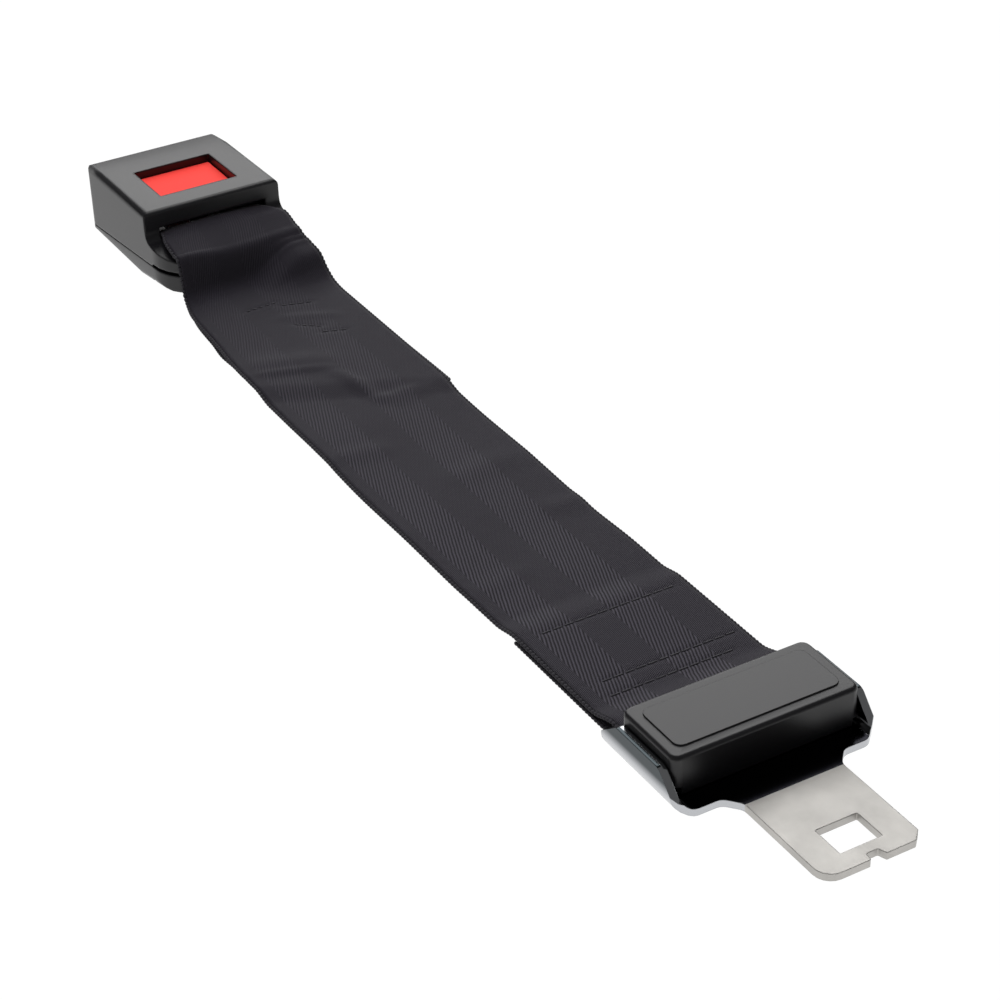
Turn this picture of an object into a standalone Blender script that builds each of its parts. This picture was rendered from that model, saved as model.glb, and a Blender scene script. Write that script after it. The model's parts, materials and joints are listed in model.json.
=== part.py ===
"""Seat belt extender: webbing between a push-button buckle and a stamped tongue plate.

The buckle's mouth faces -X, the tongue points along +X, and the whole thing lies on z = 0.
Buckle sizes are measured from the mouth face, tongue plate sizes from the cover block's centre.
"""

from math import cos, pi, radians, sin, tau

import bmesh
import bpy
from mathutils import Matrix, Vector

MM = 0.001
GAP = 0.3 * MM
RUN_THROUGH = 1.0 * MM

# Overall lengths along X
LIP_BEHIND_BAR = 6.8 * MM
TAIL_LENGTH = 18.4 * MM
LIP_TO_BLOCK = 283.7 * MM
TONGUE_REACH = 51.3 * MM

# Buckle housing
HOUSING_WALL = 2.0 * MM
HOUSING_FLOOR = 1.6 * MM
MOUTH_TOP_Z = 23.0 * MM
CROWN_LENGTH = 11.0 * MM
CROWN_Z = 24.3 * MM
LIP_TOP_Z = 25.0 * MM
LIP_HEIGHT = 5.9 * MM
CHEEK_Z = 15.9 * MM
CHEEK_FALL = 3.6 * MM
CHEEK_SWEEP = 3.0 * MM
CHEEK_WALL = 4.85 * MM
THROAT_TAPER = 2.0 * MM
HOUSING_ROUND = 2.1 * MM
HOUSING_CHINE = 4.0 * MM
MOUTH_PLAN_RADIUS = 4.8 * MM
MOUTH_CHAMFER = 3.4 * MM
TAIL_LIFT = 4.0 * MM
TAIL_LIFT_START = 38.0 * MM
THROAT_SETBACK = 7.0 * MM
TAIL_PLAN_RADIUS = 14.0 * MM
TAIL_CHIN_RADIUS = 4.0 * MM
PARTING_MOUTH_Z = 3.4 * MM
PARTING_TAIL_Z = 8.8 * MM
PARTING_RUN = 50.0 * MM
TAIL_SEAM = 0.9 * MM

# Steel buckle frame
SHEET = 1.8 * MM
FRAME_START = 4.2 * MM
FRAME_BEHIND_BAR = 4.0 * MM
FRAME_ROOM = 2.45 * MM
FRAME_FLOOR_Z = 3.0 * MM
FRAME_SIDE_Z = 15.1 * MM
FRAME_BEND = 1.0 * MM

# Tongue channel and guide plate
TONGUE_WIDTH = 27.1 * MM
CHANNEL_FLOOR_Z = 10.8 * MM
CHANNEL_HEIGHT = 4.6 * MM
GUIDE_THICKNESS = 1.5 * MM
GUIDE_START = 4.6 * MM
GUIDE_END = 15.0 * MM
MOUTH_SIDE_PLAY = 1.1 * MM

# Rivets that hold the guide plate above the frame
RIVET_SHANK_RADIUS = 1.0 * MM
RIVET_SHOULDER_RADIUS = 1.8 * MM
RIVET_HEAD_HEIGHT = 0.8 * MM
RIVET_INSET = 2.25 * MM
RIVET_STATIONS = (6.9 * MM, 12.5 * MM)

# Latch pawl, pin and spring
PIVOT_U = 31.5 * MM
PIVOT_Z = 7.9 * MM
PIN_RADIUS = 1.3 * MM
BARREL_WALL = 1.1 * MM
PAWL_THICKNESS = 1.6 * MM
PAWL_HALF_WIDTH = 9.0 * MM
PAWL_NOSE_U = 15.2 * MM
TOOTH_START_U = 16.4 * MM
TOOTH_LOCK_U = 21.6 * MM
TOOTH_HALF_WIDTH = 4.5 * MM
TOOTH_HEIGHT = 2.5 * MM
LATCH_SPRING_U = 25.0 * MM
LATCH_SPRING_RADIUS = 2.2 * MM
LATCH_SPRING_TURNS = 4

# Release button
BUTTON_TRAVEL = 3.2 * MM
WINDOW_START = 17.3 * MM
WINDOW_LENGTH = 20.7 * MM
WINDOW_WIDTH = 25.6 * MM
COLLAR_WALL = 1.2 * MM
COLLAR_Z = 20.0 * MM
BUTTON_TOP_Z = 22.0 * MM
BUTTON_FLANGE = 1.4 * MM
BUTTON_BASE_Z = 18.2 * MM
LEG_START = 17.3 * MM
LEG_LENGTH = 2.7 * MM
LEG_THICKNESS = 2.0 * MM
LEG_PLAY = 0.65 * MM

# Ejector and its spring
EJECTOR_U = 22.3 * MM
EJECTOR_LENGTH = 6.0 * MM
EJECTOR_TRAVEL = 5.0 * MM
EJECTOR_INSET = 0.75 * MM
EJECTOR_HEIGHT = 3.4 * MM
WING_LENGTH = 3.0 * MM
WING_Z = 12.0 * MM
WING_HEIGHT = 1.6 * MM
SPRING_TAB_THICKNESS = 1.2 * MM
SPRING_TAB_HALF_WIDTH = 3.0 * MM
SPRING_TAB_PLAY = 1.2 * MM
EJECTOR_SPRING_RADIUS = 1.1 * MM
EJECTOR_SPRING_TURNS = 7
POCKET_WALL = 1.5 * MM
SPRING_WIRE = 0.28 * MM

# Webbing bar in the buckle
BAR_Z = 10.0 * MM
BAR_RADIUS = 2.0 * MM
LOOP_CLEARANCE = 0.8 * MM

# Screws that hold the two covers together at the tail
SCREW_BEHIND_LIP = 1.8 * MM
SCREW_TOP_Z = 12.5 * MM
SCREW_RADIUS = 0.65 * MM
SCREW_HEAD_RADIUS = 1.5 * MM
SCREW_HEAD_HEIGHT = 0.9 * MM

# Tongue plate
PLATE = 2.0 * MM
PLATE_INNER_WIDTH = 52.4 * MM
PLATE_BEND = 2.2 * MM
FLANGE_Z = 9.8 * MM
FLANGE_FRONT = 8.5 * MM
PLATE_REAR = 15.5 * MM
PLATE_SHOULDER = 17.0 * MM
TONGUE_ROOT = 21.0 * MM
TONGUE_WINDOW_TO_TIP = 5.2 * MM
TONGUE_WINDOW_LENGTH = 9.2 * MM
TONGUE_WINDOW_WIDTH = 11.5 * MM
TIP_LEFT_RADIUS = 4.5 * MM
TIP_RIGHT_CUT = 2.6 * MM
NOTCH_DEPTH = 2.2 * MM
LOAD_BAR_WIDTH = 6.0 * MM
LOAD_BAR_LIFT = 1.8 * MM
SLOT_LENGTH = 7.0 * MM
SLOT_WIDTH = 50.2 * MM

# Cover block
BLOCK_LENGTH = 22.3 * MM
BLOCK_WALL = 1.8 * MM
BLOCK_TOP_Z = 12.8 * MM
BLOCK_ROUND = 1.0 * MM
BLOCK_CORNER = 2.4 * MM
PAD_INSET = 3.2 * MM
PAD_HEIGHT = 0.35 * MM
LEG_REACH = 1.5 * MM

# Webbing
WEB_WIDTH = 48.5 * MM
WEB_THICKNESS = 1.2 * MM
WEB_LIFT = 0.1 * MM
WEB_SIDE_PLAY = 0.9 * MM
TONGUE_LAP = 51.0 * MM
BUCKLE_LAP = 88.7 * MM
LAP_SKEW = 12.0 * MM
STEP_RUN = 10.0 * MM
WEB_COLUMNS = 10
WEB_STEP = 4.0 * MM
WEB_FINE_STEP = 2.0 * MM
WEB_TIGHT_STEP = 1.2 * MM

# Values that follow from the ones above
LEG_INNER = TONGUE_WIDTH / 2 + LEG_PLAY
LEG_OUTER = LEG_INNER + LEG_THICKNESS
FRAME_INNER = LEG_OUTER + FRAME_ROOM
FRAME_HALF = FRAME_INNER + SHEET
INNER_HALF = FRAME_HALF + GAP
HOUSING_HALF = INNER_HALF + HOUSING_WALL
THROAT_HALF = HOUSING_HALF - CHEEK_WALL
LOOP_HALF_WIDTH = THROAT_HALF - WEB_SIDE_PLAY
EJECTOR_HALF_WIDTH = TONGUE_WIDTH / 2 - EJECTOR_INSET
EJECTOR_END = EJECTOR_U + EJECTOR_LENGTH
TAB_U = EJECTOR_END + EJECTOR_TRAVEL + SPRING_TAB_PLAY
LOOP_REACH = BAR_RADIUS + GAP + WEB_THICKNESS
BAR_U = TAB_U + SPRING_TAB_THICKNESS + LOOP_CLEARANCE + LOOP_REACH
FRAME_END = BAR_U + FRAME_BEHIND_BAR
BUCKLE_LENGTH = BAR_U + LIP_BEHIND_BAR
TAIL_END = BUCKLE_LENGTH + TAIL_LENGTH
THROAT_END = TAIL_END - THROAT_SETBACK
MOUTH_X = -(BUCKLE_LENGTH + LIP_TO_BLOCK + TONGUE_REACH) / 2
BLOCK_X = MOUTH_X + BUCKLE_LENGTH + LIP_TO_BLOCK
LIP_Z = LIP_TOP_Z - LIP_HEIGHT
RIVET_SIDE = FRAME_INNER - RIVET_INSET
FRAME_TOP_Z = FRAME_FLOOR_Z + SHEET
CHANNEL_TOP_Z = CHANNEL_FLOOR_Z + CHANNEL_HEIGHT
MOUTH_HALF = TONGUE_WIDTH / 2 + MOUTH_SIDE_PLAY
BARREL_RADIUS = PIN_RADIUS + GAP + BARREL_WALL
WINDOW_END = WINDOW_START + WINDOW_LENGTH
BUTTON_FLANGE_TOP_Z = COLLAR_Z - GAP
EJECTOR_Z = CHANNEL_FLOOR_Z + GAP
EJECTOR_SPRING_Z = EJECTOR_Z + EJECTOR_HEIGHT / 2
PLATE_INNER = PLATE_INNER_WIDTH / 2
PLATE_OUTER = PLATE_INNER + PLATE
LOAD_BAR_FRONT = -PLATE_REAR + LOAD_BAR_WIDTH
TONGUE_WINDOW_NEAR = TONGUE_REACH - TONGUE_WINDOW_TO_TIP - TONGUE_WINDOW_LENGTH
BLOCK_HALF_WIDTH = PLATE_INNER - GAP
WEB_STAND = GAP + WEB_THICKNESS / 2


def collection(name):
    """Return a new collection linked to the scene."""
    made = bpy.data.collections.new(name)
    bpy.context.scene.collection.children.link(made)
    return made


def clear_scene():
    """Remove every object that the scene starts with."""
    for old in list(bpy.data.objects):
        bpy.data.objects.remove(old, do_unlink=True)


clear_scene()
PARTS = collection("seat_belt_extender")
CUTTERS = collection("cutters")


def empty(name, location, parent=None):
    """Return an empty that carries a group of pieces."""
    made = bpy.data.objects.new(name, None)
    PARTS.objects.link(made)
    made.parent = parent
    made.location = location
    return made


BUCKLE = empty("buckle_datum", (MOUTH_X, 0.0, 0.0))
TONGUE = empty("tongue_datum", (BLOCK_X, 0.0, 0.0))


def place(mesh, name, parent):
    """Return an object in the cutters collection, where every solid starts."""
    made = bpy.data.objects.new(name, mesh)
    CUTTERS.objects.link(made)
    made.parent = parent
    made.hide_render = True
    made.display_type = "WIRE"
    return made


def mesh_from(shape, name):
    """Write a bmesh into a new mesh."""
    mesh = bpy.data.meshes.new(name)
    shape.to_mesh(mesh)
    shape.free()
    return mesh


def bake(thing):
    """Replace an object's mesh with its evaluated one, planar faces merged."""
    bpy.context.view_layer.update()
    evaluated = thing.evaluated_get(bpy.context.evaluated_depsgraph_get())
    mesh = bpy.data.meshes.new_from_object(evaluated)
    thing.modifiers.clear()
    shape = bmesh.new()
    shape.from_mesh(mesh)
    bmesh.ops.remove_doubles(shape, verts=shape.verts, dist=0.002 * MM)
    bmesh.ops.dissolve_limit(shape, angle_limit=radians(0.2), verts=shape.verts, edges=shape.edges)
    shape.to_mesh(mesh)
    shape.free()
    thing.data = mesh
    return thing


def box(name, low, high, parent):
    """A block between two corners."""
    shape = bmesh.new()
    bmesh.ops.create_cube(shape, size=1.0)
    size = Vector(high) - Vector(low)
    centre = (Vector(high) + Vector(low)) / 2
    bmesh.ops.transform(shape, matrix=Matrix.Diagonal((*size, 1.0)), verts=shape.verts)
    bmesh.ops.translate(shape, vec=centre, verts=shape.verts)
    return place(mesh_from(shape, name), name, parent)


def rod(name, centre, radius, length, axis, parent, sides=24):
    """A cylinder along X, Y or Z, centred on a point."""
    turn = {
        "X": Matrix.Rotation(pi / 2, 4, "Y"),
        "Y": Matrix.Rotation(pi / 2, 4, "X"),
        "Z": Matrix.Identity(4),
    }[axis]
    shape = bmesh.new()
    bmesh.ops.create_cone(
        shape, cap_ends=True, segments=sides, radius1=radius, radius2=radius, depth=length
    )
    bmesh.ops.transform(shape, matrix=Matrix.Translation(centre) @ turn, verts=shape.verts)
    return place(mesh_from(shape, name), name, parent)


def rounded(corners, steps=5):
    """Turn corners (x, y, radius) into outline points, with an arc at each rounded one."""
    points = []
    count = len(corners)
    for i, (x, y, radius) in enumerate(corners):
        here = Vector((x, y))
        if radius == 0:
            points.append(here)
            continue
        before = Vector(corners[i - 1][:2]) - here
        after = Vector(corners[(i + 1) % count][:2]) - here
        half = before.angle(after) / 2
        reach = radius * cos(half) / sin(half)
        start = here + before.normalized() * reach
        end = here + after.normalized() * reach
        centre = here + (before.normalized() + after.normalized()).normalized() * radius / sin(half)
        first = start - centre
        sweep = first.angle_signed(end - centre)
        for k in range(steps + 1):
            turned = first.copy()
            turned.rotate(Matrix.Rotation(-sweep * k / steps, 2))
            points.append(centre + turned)
    return points


def prism(name, corners, low, high, plane, parent, steps=5):
    """Extrude an outline of (a, b, radius) corners from low to high across its plane."""
    curve = bpy.data.curves.new(name, "CURVE")
    curve.dimensions = "2D"
    curve.fill_mode = "BOTH"
    curve.extrude = (high - low) / 2
    points = rounded(corners, steps)
    spline = curve.splines.new("POLY")
    spline.points.add(len(points) - 1)
    for spot, point in zip(spline.points, points):
        spot.co = (point.x, point.y, 0.0, 1.0)
    spline.use_cyclic_u = True
    middle = (high + low) / 2
    turn = {
        "XY": Matrix.Translation((0, 0, middle)),
        "XZ": Matrix.Translation((0, middle, 0)) @ Matrix.Rotation(pi / 2, 4, "X"),
        "YZ": Matrix.Translation((middle, 0, 0))
        @ Matrix.Rotation(pi / 2, 4, "Z")
        @ Matrix.Rotation(pi / 2, 4, "X"),
    }[plane]
    guide = bpy.data.objects.new(name, curve)
    CUTTERS.objects.link(guide)
    bpy.context.view_layer.update()
    mesh = bpy.data.meshes.new_from_object(
        guide.evaluated_get(bpy.context.evaluated_depsgraph_get())
    )
    bpy.data.objects.remove(guide, do_unlink=True)
    shape = bmesh.new()
    shape.from_mesh(mesh)
    bmesh.ops.remove_doubles(shape, verts=shape.verts, dist=0.01 * MM)
    bmesh.ops.dissolve_limit(shape, angle_limit=radians(0.2), verts=shape.verts, edges=shape.edges)
    bmesh.ops.transform(shape, matrix=turn, verts=shape.verts)
    bmesh.ops.recalc_face_normals(shape, faces=shape.faces)
    return place(mesh_from(shape, name), name, parent)


def turned(name, profile, centre, parent, sides=20):
    """Spin a profile of (radius, z), top to bottom, round a vertical axis with a Screw."""
    shape = bmesh.new()
    spots = [shape.verts.new((radius, 0.0, z)) for radius, z in profile]
    for first, second in zip(spots, spots[1:]):
        shape.edges.new((first, second))
    made = place(mesh_from(shape, name), name, parent)
    made.location = centre
    screw = made.modifiers.new("turn", "SCREW")
    screw.angle = tau
    screw.steps = sides
    screw.render_steps = sides
    screw.use_merge_vertices = True
    screw.merge_threshold = 0.01 * MM
    screw.use_normal_calculate = False
    return made


def coil(name, start, end, radius, turns, parent):
    """A round-wire compression spring between two points on one axis."""
    start = Vector(start)
    axis = Vector(end) - start
    length = axis.length
    side = axis.normalized().orthogonal().normalized()
    across = axis.normalized().cross(side)
    count = turns * 14
    curve = bpy.data.curves.new(name, "CURVE")
    curve.dimensions = "3D"
    curve.bevel_depth = SPRING_WIRE
    curve.bevel_resolution = 2
    curve.use_fill_caps = True
    spline = curve.splines.new("POLY")
    spline.points.add(count)
    run = length - 2 * SPRING_WIRE
    for k in range(count + 1):
        angle = tau * turns * k / count
        along = SPRING_WIRE + run * k / count
        spot = start + axis.normalized() * along
        spot += side * radius * cos(angle) + across * radius * sin(angle)
        spline.points[k].co = (*spot, 1.0)
    guide = bpy.data.objects.new(name, curve)
    CUTTERS.objects.link(guide)
    bpy.context.view_layer.update()
    mesh = bpy.data.meshes.new_from_object(
        guide.evaluated_get(bpy.context.evaluated_depsgraph_get())
    )
    bpy.data.objects.remove(guide, do_unlink=True)
    shape = bmesh.new()
    shape.from_mesh(mesh)
    bmesh.ops.remove_doubles(shape, verts=shape.verts, dist=0.001 * MM)
    bmesh.ops.recalc_face_normals(shape, faces=shape.faces)
    return place(mesh_from(shape, name), name, parent)


def combine(target, other, operation):
    """Add an exact Boolean of another solid to an object."""
    step = target.modifiers.new(operation.lower(), "BOOLEAN")
    step.operation = operation
    step.solver = "EXACT"
    step.object = other
    return target


def cut(target, *others):
    """Take solids away from an object."""
    for other in others:
        combine(target, other, "DIFFERENCE")
    return target


def join(target, *others):
    """Fuse solids to an object."""
    for other in others:
        combine(target, other, "UNION")
    return target


def soften(target, width, segments, limit=35.0):
    """Round the sharp edges of an object."""
    step = target.modifiers.new("round", "BEVEL")
    step.width = width
    step.segments = segments
    step.limit_method = "ANGLE"
    step.angle_limit = radians(limit)
    step.use_clamp_overlap = True
    return target


def finish(made, colour, roughness, metallic, smooth=True):
    """Give a finished piece its material and move it to the parts collection."""
    material = bpy.data.materials.new(made.name)
    material.use_nodes = True
    shader = material.node_tree.nodes["Principled BSDF"]
    shader.inputs["Base Color"].default_value = (*colour, 1.0)
    shader.inputs["Roughness"].default_value = roughness
    shader.inputs["Metallic"].default_value = metallic
    made.data.materials.clear()
    made.data.materials.append(material)
    made.hide_render = False
    made.display_type = "TEXTURED"
    CUTTERS.objects.unlink(made)
    PARTS.objects.link(made)
    if smooth:
        made.data.shade_smooth()
        made.data.set_sharp_from_angle(angle=radians(35))
    return made


def pivot_on(made, point):
    """Put a baked piece's origin on a point without moving the piece."""
    made.data.transform(Matrix.Translation(-Vector(point)))
    made.location = point
    return made


BLACK_PLASTIC = (0.045, 0.045, 0.048)
STEEL = (0.55, 0.55, 0.56)
CHROME = (0.78, 0.79, 0.80)
RED = (0.85, 0.09, 0.08)


def top_z(u):
    """Height of the housing's top at a distance from the mouth."""
    if u < CROWN_LENGTH:
        return MOUTH_TOP_Z + (CROWN_Z - MOUTH_TOP_Z) * u / CROWN_LENGTH
    share = (u - CROWN_LENGTH) / (BUCKLE_LENGTH - CROWN_LENGTH)
    return CROWN_Z + (LIP_TOP_Z - CROWN_Z) * share


def bottom_z(u):
    """Height of the housing's underside, which rises towards the tail."""
    run = TAIL_END - TAIL_LIFT_START
    return TAIL_LIFT * max(0.0, u - TAIL_LIFT_START) / run


def loft(name, sections, parent):
    """Skin a closed body through outlines of equal point count, given as (x, points)."""
    shape = bmesh.new()
    rings = [[shape.verts.new((x, y, z)) for y, z in points] for x, points in sections]
    for first, second in zip(rings, rings[1:]):
        for k in range(len(first)):
            n = (k + 1) % len(first)
            shape.faces.new((first[k], first[n], second[n], second[k]))
    shape.faces.new(rings[0][::-1])
    shape.faces.new(rings[-1])
    bmesh.ops.recalc_face_normals(shape, faces=shape.faces)
    return place(mesh_from(shape, name), name, parent)


def housing_section(u):
    """Rounded cross-section of the housing at a distance from the mouth."""
    corners = [
        (-HOUSING_HALF, bottom_z(u), HOUSING_CHINE),
        (HOUSING_HALF, bottom_z(u), HOUSING_CHINE),
        (HOUSING_HALF, top_z(u), HOUSING_ROUND),
        (-HOUSING_HALF, top_z(u), HOUSING_ROUND),
    ]
    return [(point.x, point.y) for point in rounded(corners, 4)]


def housing_blank():
    """The whole outer form of the buckle, before it is split into two covers."""
    stations = (-RUN_THROUGH, 0.0, CROWN_LENGTH, TAIL_LIFT_START, TAIL_END + RUN_THROUGH)
    blank = loft("housing_blank", [(u, housing_section(u)) for u in stations], BUCKLE)
    above = LIP_TOP_Z + 3 * RUN_THROUGH
    lip_sweep = BUCKLE_LENGTH + 0.4 * MM
    side = [
        (0.0, MOUTH_CHAMFER + 0.6 * MM, 1.0 * MM),
        (0.0, top_z(0.0), HOUSING_ROUND),
        (HOUSING_ROUND * 2, top_z(HOUSING_ROUND * 2), 0.0),
        (HOUSING_ROUND * 3, above, 0.0),
        (BUCKLE_LENGTH - 2.0 * MM, above, 0.0),
        (BUCKLE_LENGTH - 1.0 * MM, LIP_TOP_Z, 0.0),
        (BUCKLE_LENGTH, LIP_TOP_Z - 0.8 * MM, 0.8 * MM),
        (BUCKLE_LENGTH, LIP_Z, 0.3 * MM),
        (lip_sweep, CHEEK_Z, CHEEK_SWEEP),
        (TAIL_END, CHEEK_Z - CHEEK_FALL, 1.2 * MM),
        (TAIL_END, TAIL_LIFT, TAIL_CHIN_RADIUS),
        (TAIL_LIFT_START, 0.0, 0.0),
        (MOUTH_CHAMFER, 0.0, 1.5 * MM),
    ]
    across = HOUSING_HALF + RUN_THROUGH
    profile = prism("housing_side", side, -across, across, "XZ", BUCKLE)
    plan = [
        (0.0, -HOUSING_HALF, MOUTH_PLAN_RADIUS),
        (TAIL_END, -HOUSING_HALF, TAIL_PLAN_RADIUS),
        (TAIL_END, HOUSING_HALF, TAIL_PLAN_RADIUS),
        (0.0, HOUSING_HALF, MOUTH_PLAN_RADIUS),
    ]
    outline = prism("housing_plan", plan, -RUN_THROUGH, above + RUN_THROUGH, "XY", BUCKLE, 6)
    combine(blank, profile, "INTERSECT")
    combine(blank, outline, "INTERSECT")
    return bake(blank)


def cavity():
    """The hollow inside both covers, open towards the webbing."""
    lip_inner = BUCKLE_LENGTH - HOUSING_WALL
    beyond = TAIL_END + 3 * RUN_THROUGH
    side = [
        (HOUSING_WALL, MOUTH_CHAMFER + HOUSING_WALL, 0.0),
        (HOUSING_WALL, MOUTH_TOP_Z - HOUSING_WALL, 0.0),
        (CROWN_LENGTH, CROWN_Z - HOUSING_WALL, 0.0),
        (lip_inner, top_z(lip_inner) - HOUSING_WALL, 0.0),
        (lip_inner, LIP_Z, 0.0),
        (beyond, LIP_Z, 0.0),
        (beyond, -RUN_THROUGH, 0.0),
        (THROAT_END, -RUN_THROUGH, 0.0),
        (THROAT_END, bottom_z(THROAT_END) + HOUSING_FLOOR, 0.0),
        (TAIL_LIFT_START, HOUSING_FLOOR, 0.0),
        (MOUTH_CHAMFER + HOUSING_FLOOR, HOUSING_FLOOR, 0.0),
    ]
    hollow = prism("housing_cavity", side, -INNER_HALF, INNER_HALF, "XZ", BUCKLE)
    throat = FRAME_END + GAP
    nose = HOUSING_WALL
    plan = [
        (HOUSING_WALL, -INNER_HALF + nose, 0.0),
        (HOUSING_WALL + nose, -INNER_HALF, 0.0),
        (throat, -INNER_HALF, 0.0),
        (throat + THROAT_TAPER, -THROAT_HALF, 0.0),
        (beyond, -THROAT_HALF, 0.0),
        (beyond, THROAT_HALF, 0.0),
        (throat + THROAT_TAPER, THROAT_HALF, 0.0),
        (throat, INNER_HALF, 0.0),
        (HOUSING_WALL + nose, INNER_HALF, 0.0),
        (HOUSING_WALL, INNER_HALF - nose, 0.0),
    ]
    outline = prism("cavity_plan", plan, -2 * RUN_THROUGH, LIP_TOP_Z, "XY", BUCKLE)
    combine(hollow, outline, "INTERSECT")
    return bake(hollow)


def parting_solid(name, shift, above):
    """Everything above or below the line where the two covers meet."""
    far = TAIL_END + RUN_THROUGH
    near = -RUN_THROUGH
    edge = LIP_TOP_Z + RUN_THROUGH if above else -RUN_THROUGH
    seam = TAIL_SEAM if above else 0.0
    line = [
        (near, PARTING_MOUTH_Z + shift, 0.0),
        (PARTING_RUN, PARTING_TAIL_Z + shift, 0.0),
        (PARTING_RUN + RUN_THROUGH, PARTING_TAIL_Z + shift + seam, 0.0),
        (far, PARTING_TAIL_Z + shift + seam, 0.0),
    ]
    ends = [(far, edge, 0.0), (near, edge, 0.0)]
    across = HOUSING_HALF + RUN_THROUGH
    return prism(name, line + ends, -across, across, "XZ", BUCKLE)


def copy_of(original, name):
    """A second solid with the same mesh, for the other cover."""
    return place(original.data.copy(), name, BUCKLE)


BLANK = housing_blank()
CAVITY = cavity()


def upper_cover():
    """Top shell: lid, side cheeks, the button's collar and the upper part of the mouth wall."""
    cover = copy_of(BLANK, "upper_cover")
    combine(cover, parting_solid("above_parting", GAP / 2, True), "INTERSECT")
    cut(cover, CAVITY)
    half = WINDOW_WIDTH / 2
    collar = box(
        "button_collar",
        (WINDOW_START - COLLAR_WALL, -half - COLLAR_WALL, COLLAR_Z),
        (WINDOW_END + COLLAR_WALL, half + COLLAR_WALL, CROWN_Z - HOUSING_WALL / 2),
        BUCKLE,
    )
    window = box(
        "button_window",
        (WINDOW_START, -half, COLLAR_Z - RUN_THROUGH),
        (WINDOW_END, half, LIP_TOP_Z + RUN_THROUGH),
        BUCKLE,
    )
    join(cover, collar)
    cut(cover, window, MOUTH_SLOT)
    for side in (-1, 1):
        spot = (SCREW_U, side * SCREW_SIDE, 0.0)
        cut(cover, rod(f"screw_thread_{side}", spot, SCREW_RADIUS + GAP, SCREW_HOLE, "Z", BUCKLE, 16))
    return finish(bake(cover), BLACK_PLASTIC, 0.45, 0.0)


def lower_cover():
    """Bottom shell: a tray with two ribs that carry the steel frame."""
    cover = copy_of(BLANK, "lower_cover")
    combine(cover, parting_solid("below_parting", -GAP / 2, False), "INTERSECT")
    cut(cover, CAVITY)
    for side in (-1, 1):
        middle = side * FRAME_HALF / 3
        rib = box(
            f"frame_rib_{side}",
            (FRAME_START + HOUSING_WALL, middle - HOUSING_WALL / 2, HOUSING_FLOOR * 3 / 4),
            (FRAME_END - HOUSING_WALL, middle + HOUSING_WALL / 2, FRAME_FLOOR_Z - GAP),
            BUCKLE,
        )
        join(cover, rib)
    for side in (-1, 1):
        spot = (SCREW_U, side * SCREW_SIDE, 0.0)
        cut(cover, rod(f"screw_sink_{side}", spot, SCREW_HEAD_RADIUS + GAP, SCREW_SINK, "Z", BUCKLE))
        cut(cover, rod(f"screw_way_{side}", spot, SCREW_RADIUS + GAP, SCREW_HOLE, "Z", BUCKLE, 16))
    return finish(bake(cover), BLACK_PLASTIC, 0.5, 0.0)


SCREW_U = BUCKLE_LENGTH + SCREW_BEHIND_LIP
SCREW_SIDE = (THROAT_HALF + HOUSING_HALF) / 2
HEAD_REACH = max(0.0, SCREW_SIDE + SCREW_HEAD_RADIUS - HOUSING_HALF + HOUSING_CHINE)
HEAD_RISE = HOUSING_CHINE - (HOUSING_CHINE**2 - HEAD_REACH**2) ** 0.5
SCREW_BASE_Z = bottom_z(SCREW_U) + HEAD_RISE + GAP
SCREW_SINK = 2 * (SCREW_BASE_Z + SCREW_HEAD_HEIGHT + GAP)
SCREW_HOLE = 2 * (SCREW_TOP_Z + GAP)
MOUTH_SLOT = box(
    "mouth_slot",
    (-RUN_THROUGH, -MOUTH_HALF, CHANNEL_FLOOR_Z - GAP),
    (HOUSING_WALL + RUN_THROUGH, MOUTH_HALF, CHANNEL_TOP_Z),
    BUCKLE,
)


def buckle_frame():
    """Folded steel channel that carries the pins, rivets, ejector and latch."""
    section = [
        (-FRAME_HALF, FRAME_SIDE_Z, 0.0),
        (-FRAME_HALF, FRAME_FLOOR_Z, FRAME_BEND + SHEET),
        (FRAME_HALF, FRAME_FLOOR_Z, FRAME_BEND + SHEET),
        (FRAME_HALF, FRAME_SIDE_Z, 0.0),
        (FRAME_INNER, FRAME_SIDE_Z, 0.0),
        (FRAME_INNER, FRAME_TOP_Z, FRAME_BEND),
        (-FRAME_INNER, FRAME_TOP_Z, FRAME_BEND),
        (-FRAME_INNER, FRAME_SIDE_Z, 0.0),
    ]
    frame = prism("buckle_frame", section, FRAME_START, FRAME_END, "YZ", BUCKLE, 3)
    tab = box(
        "spring_tab",
        (TAB_U, -SPRING_TAB_HALF_WIDTH, FRAME_FLOOR_Z + SHEET / 2),
        (TAB_U + SPRING_TAB_THICKNESS, SPRING_TAB_HALF_WIDTH, EJECTOR_Z + EJECTOR_HEIGHT),
        BUCKLE,
    )
    join(frame, tab)
    across = 2 * (FRAME_HALF + RUN_THROUGH)
    cut(
        frame,
        rod("pin_hole", (PIVOT_U, 0, PIVOT_Z), PIN_RADIUS + GAP, across, "Y", BUCKLE),
        rod("bar_hole", (BAR_U, 0, BAR_Z), BAR_RADIUS + GAP, across, "Y", BUCKLE),
        box(
            "wing_slot",
            (EJECTOR_U - GAP, -across / 2, WING_Z - GAP),
            (EJECTOR_U + WING_LENGTH + EJECTOR_TRAVEL + GAP, across / 2, WING_Z + WING_HEIGHT + GAP),
            BUCKLE,
        ),
    )
    for name, u, y in RIVETS:
        hole = rod(f"{name}_hole", (u, y, FRAME_FLOOR_Z), RIVET_HOLE, 4 * SHEET, "Z", BUCKLE)
        cut(frame, hole)
    return finish(bake(frame), STEEL, 0.35, 1.0)


RIVET_HOLE = RIVET_SHANK_RADIUS + GAP
RIVETS = [
    (f"guide_rivet_{end}_{side}", u, sign * RIVET_SIDE)
    for end, u in zip(("front", "rear"), RIVET_STATIONS)
    for side, sign in (("left", -1), ("right", 1))
]


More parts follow.
